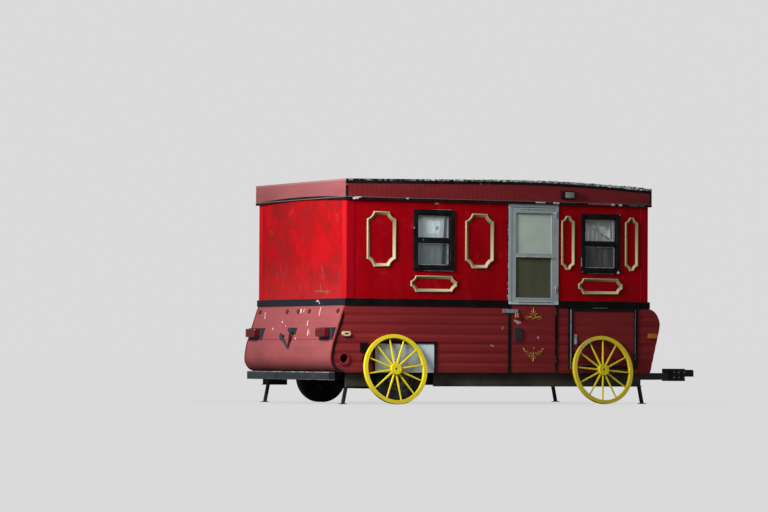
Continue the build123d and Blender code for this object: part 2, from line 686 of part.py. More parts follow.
with BuildPart() as corner_boards:
    board_z = (BELT_TOP, WALL_TOP)
    for start in (REAR_X, FRONT_X - CORNER_BOARD_WIDTH):
        board_y = (KERB_Y - CORNER_BOARD_PROUD, KERB_Y)
        block((start, start + CORNER_BOARD_WIDTH), board_y, board_z)
    board_y = (KERB_Y, KERB_Y + CORNER_BOARD_WIDTH)
    block((REAR_X - CORNER_BOARD_PROUD, REAR_X), board_y, board_z)
    block((FRONT_X, FRONT_X + CORNER_BOARD_PROUD), board_y, board_z)
    mirror(about=CENTRE)

# Roof
with BuildPart() as roof_band:
    with BuildSketch(Plane.XZ.offset(-KERB_Y + ROOF_LIP)):
        with BuildLine():
            roof_start, roof_end = roof_top_line(ROOF_SKIN_THICKNESS)
            Polyline(roof_end, (roof_end[0], WALL_TOP), (roof_start[0], WALL_TOP), roof_start)
        make_face()
    extrude(amount=-(BODY_WIDTH + 2 * ROOF_LIP))
    inside = ROOF_BAND_THICKNESS - ROOF_LIP
    above = (WALL_TOP, WALL_TOP + 2 * ROOF_CROWN_HEIGHT)
    inner_span = (KERB_Y + inside, FAR_Y - inside)
    block((REAR_X + inside, FRONT_X - inside), inner_span, above, Mode.SUBTRACT)
    for joint_y in (inner_span[0] + SEAT_GAP / 2, inner_span[1] - SEAT_GAP / 2):
        whole_x = (REAR_X - 2 * ROOF_LIP, FRONT_X + 2 * ROOF_LIP)
        joint = (joint_y - SEAT_GAP / 2, joint_y + SEAT_GAP / 2)
        block(whole_x, joint, above, Mode.SUBTRACT)
    with BuildSketch(Plane.YZ.offset(REAR_X - ROOF_LIP)):
        left = (KERB_Y + WALL_THICKNESS, WALL_TOP)
        right = (FAR_Y - WALL_THICKNESS, WALL_TOP)
        with BuildLine():
            ThreePointArc(right, (MID_Y, WALL_TOP + ROOF_END_BOW), left)
            Line(left, right)
        make_face()
    extrude(amount=ROOF_BAND_THICKNESS, mode=Mode.SUBTRACT)

with BuildPart() as roof_skin:
    with BuildSketch(Plane.XZ.offset(-KERB_Y + ROOF_LIP + ROOF_SKIN_LIP)):
        with BuildLine():
            upper_start, upper_end = roof_top_line(0)
            lower_start, lower_end = roof_top_line(ROOF_SKIN_THICKNESS)
            Line(upper_start, lower_start)
            Line(upper_end, lower_end)
        make_face()
    extrude(amount=-(BODY_WIDTH + 2 * ROOF_LIP + 2 * ROOF_SKIN_LIP))

with BuildPart() as roof_trims:
    with BuildSketch(Plane.XZ.offset(-KERB_Y + ROOF_LIP)):
        with BuildLine():
            upper_start, upper_end = roof_top_line(ROOF_SKIN_THICKNESS)
            lower_start, lower_end = roof_top_line(TRIM_WIDTH + ROOF_SKIN_THICKNESS)
            Line(upper_start, lower_start)
            Line(upper_end, lower_end)
        make_face()
        band_length = BODY_LENGTH + 2 * ROOF_LIP
        panel(-ROOF_LIP, WALL_TOP, band_length, TRIM_WIDTH)
        upright = ROOF_FRONT_HEIGHT - ROOF_SKIN_THICKNESS - TRIM_WIDTH
        panel(-ROOF_LIP, WALL_TOP, CORNER_TRIM_WIDTH, upright)
        panel(BODY_LENGTH + ROOF_LIP - CORNER_TRIM_WIDTH, WALL_TOP, CORNER_TRIM_WIDTH, upright)
    extrude(amount=TRIM_PROUD)
    mirror(about=CENTRE)
    left = (KERB_Y + WALL_THICKNESS, WALL_TOP)
    right = (FAR_Y - WALL_THICKNESS, WALL_TOP)
    lip = ROOF_LIP + WALL_THICKNESS - SEAT_GAP
    with BuildSketch(Plane.YZ.offset(REAR_X - ROOF_LIP)):
        with BuildLine():
            ThreePointArc(left, (MID_Y, WALL_TOP + ROOF_END_BOW), right)
            Polyline(right, (right[0] + lip, right[1]), (right[0] + lip, right[1] + TRIM_WIDTH))
            upper_right = (right[0], right[1] + TRIM_WIDTH)
            upper_left = (left[0], left[1] + TRIM_WIDTH)
            Line((right[0] + lip, right[1] + TRIM_WIDTH), upper_right)
            ThreePointArc(upper_right, (MID_Y, WALL_TOP + ROOF_END_BOW + TRIM_WIDTH), upper_left)
            Polyline(
                upper_left,
                (left[0] - lip, left[1] + TRIM_WIDTH),
                (left[0] - lip, left[1]),
                left,
            )
        make_face()
    extrude(amount=-TRIM_PROUD)
    block(
        (FRONT_X + ROOF_LIP, FRONT_X + ROOF_LIP + TRIM_PROUD),
        (left[0] - lip, right[0] + lip),
        (WALL_TOP, WALL_TOP + TRIM_WIDTH),
    )

# Windows: a black surround with its meeting bar, an upper and a lower sash, their glass and curtains
hole_bottom = WINDOW_BOTTOM + WINDOW_TRIM
sash_height = (window_hole_height - MEETING_RAIL) / 2
pane_width = window_hole - 2 * SASH_WIDTH
pane_height = sash_height - 2 * SASH_WIDTH
sash_bottoms = (hole_bottom, hole_bottom + sash_height + MEETING_RAIL)
with BuildPart() as window_frames:
    for start in WINDOW_STARTS:
        with BuildSketch(KERB_FACE):
            panel(start, WINDOW_BOTTOM, WINDOW_WIDTH, WINDOW_HEIGHT)
            panel(start + WINDOW_TRIM, hole_bottom, window_hole, window_hole_height, Mode.SUBTRACT)
            panel(start + WINDOW_TRIM, hole_bottom + sash_height, window_hole, MEETING_RAIL)
        extrude(amount=WINDOW_TRIM_PROUD)
    mirror(about=CENTRE)

with BuildPart() as window_sashes:
    for start in WINDOW_STARTS:
        for sash_bottom in sash_bottoms:
            with BuildSketch(KERB_FACE.offset(-SASH_SET_IN)):
                panel(start + WINDOW_TRIM, sash_bottom, window_hole, sash_height)
                pane_corner = (start + WINDOW_TRIM + SASH_WIDTH, sash_bottom + SASH_WIDTH)
                panel(*pane_corner, pane_width, pane_height, Mode.SUBTRACT)
            extrude(amount=-SASH_DEPTH)
    mirror(about=CENTRE)

with BuildPart() as window_glass:
    for start in WINDOW_STARTS:
        with BuildSketch(KERB_FACE.offset(-SASH_SET_IN - SASH_DEPTH / 2)):
            for sash_bottom in sash_bottoms:
                pane_corner = (start + WINDOW_TRIM + SASH_WIDTH, sash_bottom + SASH_WIDTH)
                panel(*pane_corner, pane_width, pane_height)
        extrude(amount=-PANE_THICKNESS)
    mirror(about=CENTRE)

with BuildPart() as curtains:
    for start in WINDOW_STARTS:
        with BuildSketch(KERB_FACE.offset(-WALL_THICKNESS - SEAT_GAP)):
            panel(
                start + WINDOW_TRIM - CURTAIN_OVERLAP,
                WINDOW_BOTTOM + WINDOW_TRIM - CURTAIN_OVERLAP,
                window_hole + 2 * CURTAIN_OVERLAP,
                window_hole_height + 2 * CURTAIN_OVERLAP,
            )
        extrude(amount=-CURTAIN_THICKNESS)
    mirror(about=CENTRE)


# Picture mouldings with hollow corners
def cove_face(width, height, cove, inset):
    """A rectangle with hollow corners, set in by inset. A hollow's arc is centred beyond its corner."""
    out = cove * COVE_CENTRE_OUT
    radius = hypot(cove + out, out)
    with BuildSketch(mode=Mode.PRIVATE) as face:
        Rectangle(width - 2 * inset, height - 2 * inset)
        with GridLocations(width + 2 * out, height + 2 * out, 2, 2):
            Circle(radius + inset, mode=Mode.SUBTRACT)
    return face.sketch


def moulding(from_rear, bottom, width, height, cove, band):
    """One hollow-cornered frame on the kerb side's wall."""
    with BuildSketch(KERB_FACE, mode=Mode.PRIVATE) as outline:
        with Locations((REAR_X + from_rear + width / 2, bottom + height / 2)):
            add(cove_face(width, height, cove, 0))
            add(cove_face(width, height, cove, band), mode=Mode.SUBTRACT)
    extrude(outline.sketch, amount=MOULDING_PROUD)


with BuildPart() as mouldings:
    for (bay_start, bay_end), (rear_margin, front_margin, cove_share, band) in zip(BAYS, TALL_MOULDINGS):
        start = bay_start + rear_margin
        width = bay_end - front_margin - start
        moulding(start, TALL_MOULDING_BOTTOM, width, TALL_MOULDING_HEIGHT, width * cove_share, band)
    for window_start in WINDOW_STARTS:
        start = window_start - LOW_MOULDING_OVERHANG
        width = WINDOW_WIDTH + 2 * LOW_MOULDING_OVERHANG
        low_sizes = (width, LOW_MOULDING_HEIGHT, LOW_MOULDING_COVE, LOW_MOULDING_BAND)
        moulding(start, LOW_MOULDING_BOTTOM, *low_sizes)
    mirror(about=CENTRE)


# Side door: an aluminium storm leaf above and a ribbed leaf below, both hinged at the front jamb
def hinge_heights(bottom, top):
    """Where a leaf's two hinges part: each leaf knuckle sits on the frame knuckle below it."""
    return (bottom + 2 * HINGE_LENGTH, top - HINGE_LENGTH)


def hinge_frame_side(axis_x, axis_y, face_y, height):
    """A lower knuckle with its plate, and the pin that stands up from it."""
    low = height - HINGE_LENGTH / 2
    with Locations((axis_x, axis_y, (low + height) / 2)):
        Cylinder(HINGE_KNUCKLE_RADIUS, height - low)
    plate_y = (axis_y + HINGE_KNUCKLE_RADIUS / 2, face_y)
    block((axis_x, axis_x + HINGE_PLATE_WIDTH), plate_y, (low, height))
    with Locations((axis_x, axis_y, height + HINGE_PIN_LENGTH / 2)):
        Cylinder(HINGE_PIN_RADIUS, HINGE_PIN_LENGTH)


def hinge_leaf_side(axis_x, axis_y, face_y, height):
    """An upper knuckle with its plate, bored for the pin."""
    low = height + HINGE_PLAY
    high = height + HINGE_LENGTH / 2
    with Locations((axis_x, axis_y, (low + high) / 2)):
        Cylinder(HINGE_KNUCKLE_RADIUS, high - low)
    plate_y = (axis_y + HINGE_KNUCKLE_RADIUS / 2, face_y)
    block((axis_x - HINGE_PLATE_WIDTH, axis_x), plate_y, (low, high))
    bore_length = HINGE_PIN_LENGTH + HINGE_PLAY
    with Locations((axis_x, axis_y, height + bore_length / 2)):
        Cylinder(HINGE_PIN_RADIUS + RUNNING_CLEARANCE, bore_length, mode=Mode.SUBTRACT)


with BuildPart() as door_frame:
    with BuildSketch(KERB_FACE.offset(STORM_FRAME_PROUD)):
        storm_height = WALL_TOP - STORM_SILL_HEIGHT
        opening_height = storm_height - STORM_FRAME_SILL - STORM_FRAME_WIDTH
        opening_width = DOOR_WIDTH - 2 * STORM_FRAME_WIDTH
        opening_bottom = STORM_SILL_HEIGHT + STORM_FRAME_SILL
        opening_start = DOOR_FROM_REAR + STORM_FRAME_WIDTH
        frame_bars(
            DOOR_FROM_REAR,
            STORM_SILL_HEIGHT,
            DOOR_WIDTH,
            storm_height,
            (STORM_FRAME_WIDTH, STORM_FRAME_WIDTH),
            STORM_FRAME_WIDTH,
            STORM_FRAME_SILL,
        )
    extrude(amount=-STORM_FRAME_PROUD - WALL_THICKNESS)

leaf_start = opening_start + DOOR_GAP
leaf_bottom = opening_bottom + DOOR_GAP
leaf_width = opening_width - 2 * DOOR_GAP
leaf_height = opening_height - 2 * DOOR_GAP
leaf_face_y = KERB_Y - STORM_LEAF_PROUD
pane_start_u = leaf_start + STORM_STILE
door_pane_width = leaf_width - 2 * STORM_STILE
lower_pane_bottom = leaf_bottom + STORM_BOTTOM_RAIL
lower_pane_height = STORM_MID_RAIL_HEIGHT - lower_pane_bottom
upper_pane_bottom = STORM_MID_RAIL_HEIGHT + STORM_MID_RAIL
upper_pane_height = leaf_bottom + leaf_height - STORM_TOP_RAIL - upper_pane_bottom
with BuildPart() as door_upper:
    with BuildSketch(KERB_FACE.offset(STORM_LEAF_PROUD)):
        panel(leaf_start, leaf_bottom, leaf_width, leaf_height)
        panel(pane_start_u, lower_pane_bottom, door_pane_width, lower_pane_height, Mode.SUBTRACT)
        panel(pane_start_u, upper_pane_bottom, door_pane_width, upper_pane_height, Mode.SUBTRACT)
    extrude(amount=-STORM_LEAF_THICKNESS)
    for height in hinge_heights(leaf_bottom, leaf_bottom + leaf_height):
        hinge_leaf_side(STORM_HINGE_X, STORM_HINGE_Y, leaf_face_y, height)

with BuildPart() as door_glass:
    with BuildSketch(KERB_FACE.offset(STORM_LEAF_PROUD - STORM_LEAF_THICKNESS / 2)):
        panel(pane_start_u, upper_pane_bottom, door_pane_width, upper_pane_height)
    extrude(amount=-PANE_THICKNESS)

with BuildPart() as door_screen:
    with BuildSketch(KERB_FACE.offset(STORM_LEAF_PROUD - STORM_LEAF_THICKNESS / 2)):
        panel(pane_start_u, lower_pane_bottom, door_pane_width, lower_pane_height)
    extrude(amount=-PANE_THICKNESS)

lower_leaf_start = DOOR_FROM_REAR + JAMB_WIDTH + DOOR_GAP
lower_leaf_width = DOOR_WIDTH - 2 * JAMB_WIDTH - 2 * DOOR_GAP
lower_leaf_top = STORM_SILL_HEIGHT - DOOR_GAP
lower_leaf_bottom = BODY_BOTTOM + DOOR_GAP
with BuildPart() as door_lower:
    with BuildSketch(KERB_FACE):
        leaf_tall = lower_leaf_top - lower_leaf_bottom
        panel(lower_leaf_start, lower_leaf_bottom, lower_leaf_width, leaf_tall)
    extrude(amount=-SIDE_THICKNESS)
    ribs(KERB_Y, -1, DOOR_RIB_DEPTH)
    for height in hinge_heights(lower_leaf_bottom, lower_leaf_top):
        hinge_leaf_side(LOWER_HINGE_X, LOWER_HINGE_Y, KERB_Y, height)

with BuildPart() as door_hinges:
    for height in hinge_heights(leaf_bottom, leaf_bottom + leaf_height):
        hinge_frame_side(STORM_HINGE_X, STORM_HINGE_Y, KERB_Y - STORM_FRAME_PROUD, height)
    for height in hinge_heights(lower_leaf_bottom, lower_leaf_top):
        hinge_frame_side(LOWER_HINGE_X, LOWER_HINGE_Y, KERB_Y - JAMB_PROUD, height)

with BuildPart() as door_hardware:
    with BuildSketch(KERB_FACE):
        panel(LOCK_FROM_REAR, LOCK_BOTTOM, LOCK_WIDTH, LOCK_HEIGHT)
    extrude(amount=LOCK_PROUD)
    fillet(door_hardware.edges().filter_by(Axis.Y), LOCK_WIDTH / 8)
    hasp_face = KERB_FACE.offset(JAMB_PROUD + DOOR_GAP)
    staple_start = HASP_FROM_REAR + HASP_WIDTH - PADLOCK_WIDTH
    with BuildSketch(hasp_face):
        panel(HASP_FROM_REAR, HASP_BOTTOM, HASP_WIDTH, HASP_HEIGHT)
    extrude(amount=HASP_THICKNESS)
    with BuildSketch(KERB_FACE):
        panel(staple_start, HASP_BOTTOM, PADLOCK_WIDTH, HASP_HEIGHT)
    extrude(amount=JAMB_PROUD + DOOR_GAP)
    padlock_x = REAR_X + staple_start + PADLOCK_WIDTH / 2
    padlock_top = HASP_BOTTOM - HASP_THICKNESS
    padlock_y = KERB_Y - JAMB_PROUD - DOOR_GAP - HASP_THICKNESS
    block(
        (padlock_x - PADLOCK_WIDTH / 2, padlock_x + PADLOCK_WIDTH / 2),
        (padlock_y - PADLOCK_DEPTH, padlock_y),
        (padlock_top - PADLOCK_HEIGHT, padlock_top),
    )
    for side in (-1, 1):
        shackle_x = padlock_x + side * PADLOCK_WIDTH / 4
        with Locations((shackle_x, padlock_y - SHACKLE_RADIUS / 2, HASP_BOTTOM)):
            Cylinder(SHACKLE_RADIUS, HASP_HEIGHT)

# Axle with dropped ends, leaf springs and their hangers
hub_y = KERB_Y + TYRE_INSET + TYRE_WIDTH / 2
disc_y = KERB_Y + TYRE_INSET + DISC_INSET
drop_y = KERB_Y + TYRE_INSET + TYRE_WIDTH + DROP_GAP
with BuildPart() as axle_beam:
    with Locations(Plane(origin=(AXLE_X, MID_Y, BEAM_HEIGHT), z_dir=(0, 1, 0))):
        Cylinder(BEAM_RADIUS, 2 * (MID_Y - drop_y - DROP_THICKNESS))
    with BuildSketch(Plane.XZ.offset(-drop_y)):
        with Locations((AXLE_X, (BEAM_HEIGHT + TYRE_RADIUS) / 2)):
            SlotOverall(TYRE_RADIUS - BEAM_HEIGHT + DROP_WIDTH, DROP_WIDTH, rotation=90)
    extrude(amount=-DROP_THICKNESS)
    spindle_end = disc_y - HUB_RADIUS
    with Locations(Plane(origin=(AXLE_X, (drop_y + spindle_end) / 2, TYRE_RADIUS), z_dir=(0, 1, 0))):
        Cylinder(SPINDLE_RADIUS, drop_y - spindle_end)
    mirror(about=CENTRE)

pack_thickness = LEAF_THICKNESS * len(LEAF_HALF_LENGTHS)
main_leaf_mid = BEAM_HEIGHT + BEAM_RADIUS + pack_thickness - LEAF_THICKNESS / 2
eye_height = main_leaf_mid + LEAF_CAMBER
leaf_radius = (LEAF_HALF_LENGTHS[0] ** 2 + LEAF_CAMBER**2) / (2 * LEAF_CAMBER)
leaf_centre = main_leaf_mid + leaf_radius
spring_y = KERB_Y + RAIL_INSET


def leaf_point(distance, radius):
    """A point on a leaf's face, by its distance along X from the axle."""
    return (AXLE_X + distance, leaf_centre - (radius**2 - distance**2) ** 0.5)


with BuildPart() as leaf_springs:
    with BuildSketch(Plane.XZ.offset(-spring_y + LEAF_WIDTH / 2)):
        for place, half_length in enumerate(LEAF_HALF_LENGTHS):
            upper = leaf_radius - LEAF_THICKNESS / 2 + place * LEAF_THICKNESS
            lower = upper + LEAF_THICKNESS
            with BuildLine():
                ThreePointArc(
                    leaf_point(-half_length, upper), leaf_point(0, upper), leaf_point(half_length, upper)
                )
                Line(leaf_point(half_length, upper), leaf_point(half_length, lower))
                ThreePointArc(
                    leaf_point(half_length, lower), leaf_point(0, lower), leaf_point(-half_length, lower)
                )
                Line(leaf_point(-half_length, lower), leaf_point(-half_length, upper))
            make_face()
        for end in (-1, 1):
            with Locations((AXLE_X + end * LEAF_HALF_LENGTHS[0], eye_height)):
                Circle(EYE_RADIUS)
    extrude(amount=-LEAF_WIDTH)
    mirror(about=CENTRE)

with BuildPart() as spring_hangers:
    hanger_low = eye_height - EYE_RADIUS
    for end in (-1, 1):
        eye_x = AXLE_X + end * LEAF_HALF_LENGTHS[0]
        x_span = (eye_x - HANGER_LENGTH / 2, eye_x + HANGER_LENGTH / 2)
        wide = LEAF_WIDTH / 2 + HANGER_WALL
        block(x_span, (spring_y - wide, spring_y + wide), (hanger_low, RAIL_BOTTOM))
        slot_top = eye_height + EYE_RADIUS + SEAT_GAP
        slot_y = (spring_y - LEAF_WIDTH / 2, spring_y + LEAF_WIDTH / 2)
        block(x_span, slot_y, (hanger_low, slot_top), Mode.SUBTRACT)
    mirror(about=CENTRE)


# Road wheels
def turned(profile_points, centre_y):
    """A ring turned about the axle line, from points of distance outboard and radius."""
    points = [(centre_y + across, TYRE_RADIUS + radius) for across, radius in profile_points]
    with BuildSketch(Plane.YZ.offset(AXLE_X), mode=Mode.PRIVATE) as profile:
        with BuildLine():
            Polyline(*points, close=True)
        make_face()
    revolve(profile.sketch, axis=Axis((AXLE_X, 0, TYRE_RADIUS), (0, 1, 0)))


def road_wheel(centre_y, inboard):
    """The tyre, rim and hub of one side. inboard is +1 where +Y points under the body."""
    half_bead = BEAD_WIDTH / 2
    half_tyre = TYRE_WIDTH / 2
    half_tread = TREAD_WIDTH / 2
    shoulder = TYRE_RADIUS - TYRE_SHOULDER
    with BuildPart() as tyre:
        turned(
            (
                (-half_tyre, RIM_RADIUS),
                (-half_tyre, shoulder),
                (-half_tread, TYRE_RADIUS),
                (half_tread, TYRE_RADIUS),
                (half_tyre, shoulder),
                (half_tyre, RIM_RADIUS),
            ),
            centre_y,
        )
    disc = inboard * (DISC_INSET - TYRE_WIDTH / 2)
    disc_front = disc - inboard * DISC_THICKNESS
    with BuildPart() as rim:
        turned(
            (
                (-half_bead, RIM_RADIUS),
                (-half_bead, RIM_RADIUS - RIM_WALL),
                (half_bead, RIM_RADIUS - RIM_WALL),
                (half_bead, RIM_RADIUS),
            ),
            centre_y,
        )
        turned(
            (
                (disc, HUB_RADIUS),
                (disc, RIM_RADIUS - RIM_WALL),
                (disc_front, RIM_RADIUS - RIM_WALL),
                (disc_front, HUB_RADIUS),
            ),
            centre_y,
        )
    with BuildPart() as hub:
        bore = SPINDLE_RADIUS + RUNNING_CLEARANCE
        cap_end = disc - inboard * (HUB_RADIUS + HUB_CAP_LENGTH)
        cap_wall = cap_end + inboard * DISC_THICKNESS
        turned(
            (
                (disc + inboard * DRUM_WIDTH, bore),
                (disc + inboard * DRUM_WIDTH, DRUM_RADIUS),
                (disc, DRUM_RADIUS),
                (disc, HUB_RADIUS),
                (cap_end, HUB_RADIUS),
                (cap_end, 0),
                (cap_wall, 0),
                (cap_wall, bore),
            ),
            centre_y,
        )
    return tyre, rim, hub


tyre_kerb, rim_kerb, hub_kerb = road_wheel(hub_y, 1)
tyre_far, rim_far, hub_far = road_wheel(2 * MID_Y - hub_y, -1)


# Stabiliser legs that swing down from brackets under the floor
def leg(pivot_from_rear, splay, middle_y):
    """A leg whose foot stands past its pivot, so that load holds it against its stop."""
    pivot = (REAR_X + pivot_from_rear, LEG_PIVOT_HEIGHT)
    foot_x = pivot[0] + splay
    half = LEG_THICKNESS / 2
    with BuildPart() as piece:
        with BuildSketch(Plane.XZ.offset(-middle_y + LEG_WIDTH / 2)):
            with BuildLine():
                Polyline(
                    (pivot[0] - half, pivot[1]),
                    (foot_x - half, 0),
                    (foot_x + half, 0),
                    (pivot[0] + half, pivot[1]),
                    close=True,
                )
            make_face()
            with Locations(pivot):
                Circle(LEG_HEAD_RADIUS)
                Circle(LEG_PIN_RADIUS + RUNNING_CLEARANCE, mode=Mode.SUBTRACT)
        extrude(amount=-LEG_WIDTH)
        block(
            (foot_x - FOOT_LENGTH / 2, foot_x + FOOT_LENGTH / 2),
            (middle_y - FOOT_WIDTH / 2, middle_y + FOOT_WIDTH / 2),
            (0, FOOT_THICKNESS),
        )
    return piece


leg_y = KERB_Y + LEG_INSET
leg_rear_kerb = leg(LEG_PIVOTS[0], -LEG_SPLAY, leg_y)
leg_front_kerb = leg(LEG_PIVOTS[1], LEG_SPLAY, leg_y)
leg_rear_far = leg(LEG_PIVOTS[0], -LEG_SPLAY, 2 * MID_Y - leg_y)
leg_front_far = leg(LEG_PIVOTS[1], LEG_SPLAY, 2 * MID_Y - leg_y)

with BuildPart() as leg_brackets:
    inner_half = LEG_WIDTH / 2 + LEG_SIDE_CLEARANCE
    outer_half = inner_half + LEG_BRACKET_WALL
    for pivot_from_rear, stop_side in zip(LEG_PIVOTS, (-1, 1)):
        pivot_x = REAR_X + pivot_from_rear
        x_span = (pivot_x - LEG_BRACKET_LENGTH / 2, pivot_x + LEG_BRACKET_LENGTH / 2)
        low = BODY_BOTTOM - LEG_BRACKET_DROP
        block(x_span, (leg_y - outer_half, leg_y + outer_half), (low, BODY_BOTTOM))
        slot_span = (leg_y - inner_half, leg_y + inner_half)
        block(x_span, slot_span, (low, BODY_BOTTOM - LEG_BRACKET_WALL), Mode.SUBTRACT)
        stop_outside = pivot_x + stop_side * LEG_BRACKET_LENGTH / 2
        stop_span = sorted((stop_outside, stop_outside - stop_side * LEG_STOP_THICKNESS))
        block(stop_span, (leg_y - outer_half, leg_y + outer_half), (low, BODY_BOTTOM))
        pin_plane = Plane(origin=(pivot_x, leg_y, LEG_PIVOT_HEIGHT), z_dir=(0, 1, 0))
        with Locations(pin_plane):
            Cylinder(LEG_PIN_RADIUS, 2 * outer_half)
    mirror(about=CENTRE)

# Wagon wheels: felloe rim, mortised hub and tapered spokes with square tenons
wagon_hub_y = KERB_Y - WAGON_RADIUS * sin(LEAN) - WAGON_RIM_WIDTH / 2 * cos(LEAN) - SEAT_GAP
wagon_hub_z = WAGON_RADIUS * cos(LEAN) + WAGON_RIM_WIDTH / 2 * sin(LEAN)


def wagon_plane(from_rear, turn):
    """The plane through a wagon wheel's middle, facing out and up, turned to its first spoke."""
    first = radians(turn)
    return Plane(
        origin=(REAR_X + from_rear, wagon_hub_y, wagon_hub_z),
        x_dir=(cos(first), sin(first) * sin(LEAN), sin(first) * cos(LEAN)),
        z_dir=(0, -cos(LEAN), sin(LEAN)),
    )


def tenons(length_inside, start_radius, mode):
    """Square tenons, or their mortises, on every spoke's line."""
    with PolarLocations(start_radius + length_inside / 2, SPOKE_COUNT):
        Box(length_inside, TENON_SIZE, TENON_SIZE, mode=mode)


rim_inside = WAGON_RADIUS - WAGON_RIM_DEPTH
with BuildPart() as wagon_rims:
    for from_rear, turn in WAGON_WHEELS:
        wheel_plane = wagon_plane(from_rear, turn)
        with BuildSketch(wheel_plane):
            Circle(WAGON_RADIUS)
            Circle(rim_inside, mode=Mode.SUBTRACT)
        extrude(amount=WAGON_RIM_WIDTH / 2, both=True)
        with Locations(wheel_plane):
            tenons(TENON_LENGTH * 2, rim_inside - TENON_LENGTH, Mode.SUBTRACT)

with BuildPart() as wagon_hubs:
    for from_rear, turn in WAGON_WHEELS:
        wheel_plane = wagon_plane(from_rear, turn)
        with BuildSketch(wheel_plane):
            Circle(WAGON_HUB_RADIUS)
            Circle(WAGON_HUB_BORE, mode=Mode.SUBTRACT)
        extrude(amount=WAGON_HUB_LENGTH / 2, both=True)
        with Locations(wheel_plane):
            tenons(TENON_LENGTH * 2, WAGON_HUB_RADIUS - TENON_LENGTH, Mode.SUBTRACT)

spoke_foot_radius = WAGON_HUB_RADIUS + SEAT_GAP
spoke_head_radius = rim_inside - SEAT_GAP * 2
with BuildPart(mode=Mode.PRIVATE) as spoke:
    for radius, (across, along) in (
        (spoke_foot_radius, SPOKE_HUB_SIZE),
        (spoke_head_radius, SPOKE_RIM_SIZE),
    ):
        with BuildSketch(Plane.YZ.offset(radius)):
            Rectangle(across, along)
            chamfer(vertices(), SPOKE_CHAMFER)
    loft()
    spoke_run = spoke_head_radius - spoke_foot_radius
    with Locations(((spoke_foot_radius + spoke_head_radius) / 2, 0, 0)):
        Box(spoke_run + 2 * (TENON_LENGTH - SEAT_GAP * 2), TENON_SIZE, TENON_SIZE)

with BuildPart() as wagon_spokes:
    for from_rear, turn in WAGON_WHEELS:
        with Locations(wagon_plane(from_rear, turn)):
            with PolarLocations(0, SPOKE_COUNT):
                add(spoke.part)

# Lamps and fittings
with BuildPart() as tail_lamps:
    lens_y = (KERB_Y + LENS_INSET, KERB_Y + LENS_INSET + LENS_WIDTH)
    lens_x = (REAR_X - LAMP_BRACKET_SET - LENS_DEPTH, REAR_X - LAMP_BRACKET_SET)
    block(lens_x, lens_y, (LENS_BOTTOM, LENS_BOTTOM + LENS_HEIGHT))
    fillet(tail_lamps.faces().sort_by(Axis.X)[0].edges(), LENS_HEIGHT / 10)
    mirror(about=CENTRE)

# Rear brackets: under both lamps, the plate lamp's hood, and the bent arm with its round head
arm_face = rear_sheet_x(ARM_HEAD[1] + ARM_HEAD_RADIUS) - ARM_STAND_OFF
with BuildPart(mode=Mode.PRIVATE) as arm:
    with BuildSketch(Plane.YZ.offset(arm_face)):
        with BuildLine():
            Polyline(
                (MID_Y + ARM_HEAD[0], ARM_HEAD[1]),
                (MID_Y + ARM_FOOT[0], ARM_FOOT[1]),
                (MID_Y + ARM_START[0], ARM_START[1]),
            )
            offset(amount=ARM_WIDTH / 2)
        make_face()
        with Locations((MID_Y + ARM_HEAD[0], ARM_HEAD[1])):
            Circle(ARM_HEAD_RADIUS)
    extrude(amount=-ARM_THICKNESS)
    for place_y, place_z, reach in ((*ARM_HEAD, ARM_HEAD_RADIUS / 2), (*ARM_FOOT, ARM_WIDTH / 3)):
        stem_start = (arm_face, MID_Y + place_y, place_z)
        with BuildSketch(Plane(origin=stem_start, z_dir=(1, 0, 0))):
            Circle(reach)
        extrude(amount=ARM_STAND_OFF + REAR_BULGE_SET)
    with BuildSketch(KERB_INSIDE):
        body_outline()
    extrude(amount=-INNER_WIDTH, mode=Mode.SUBTRACT)

with BuildPart() as rear_brackets:
    bracket_top = LAMP_BRACKET_BOTTOM + LAMP_BRACKET_HEIGHT
    with BuildSketch(Plane.XZ.offset(-KERB_Y - LENS_INSET + LAMP_BRACKET_OVERHANG)):
        with BuildLine():
            Polyline(
                (rear_sheet_x(bracket_top), bracket_top),
                (REAR_X - LAMP_BRACKET_SET, bracket_top),
                (REAR_X - LAMP_BRACKET_SET, LAMP_BRACKET_BOTTOM),
                (rear_sheet_x(LAMP_BRACKET_BOTTOM), LAMP_BRACKET_BOTTOM),
                close=True,
            )
        make_face()
    extrude(amount=-LENS_WIDTH - 2 * LAMP_BRACKET_OVERHANG)
    mirror(about=CENTRE)
    plate_top = PLATE_LAMP_BOTTOM + PLATE_LAMP_HEIGHT
    plate_x = REAR_X - LAMP_BRACKET_SET - PLATE_LAMP_DEPTH
    with BuildSketch(Plane.XZ.offset(-MID_Y + PLATE_LAMP_WIDTH)):
        with BuildLine():
            Polyline(
                (rear_sheet_x(plate_top), plate_top),
                (plate_x, plate_top),
                (plate_x, (plate_top + PLATE_LAMP_BOTTOM) / 2),
                (rear_sheet_x(PLATE_LAMP_BOTTOM), PLATE_LAMP_BOTTOM),
                close=True,
            )
        make_face()
    extrude(amount=-PLATE_LAMP_WIDTH)
    add(arm.part)

slope_angle = atan((REAR_SEAM_SET - REAR_TOP_SET) / (BELT_BOTTOM - REAR_SEAM_HEIGHT))
rear_normal = (-cos(slope_angle), 0, sin(slope_angle))
with BuildPart() as marker_lamps:
    for offset_y in CLEARANCE_LAMP_OFFSETS:
        foot = (rear_sheet_x(CLEARANCE_LAMP_HEIGHT), MID_Y + offset_y, CLEARANCE_LAMP_HEIGHT)
        with BuildSketch(Plane(origin=foot, z_dir=rear_normal)):
            Circle(CLEARANCE_LAMP_RADIUS)
        extrude(amount=CLEARANCE_LAMP_DEPTH)

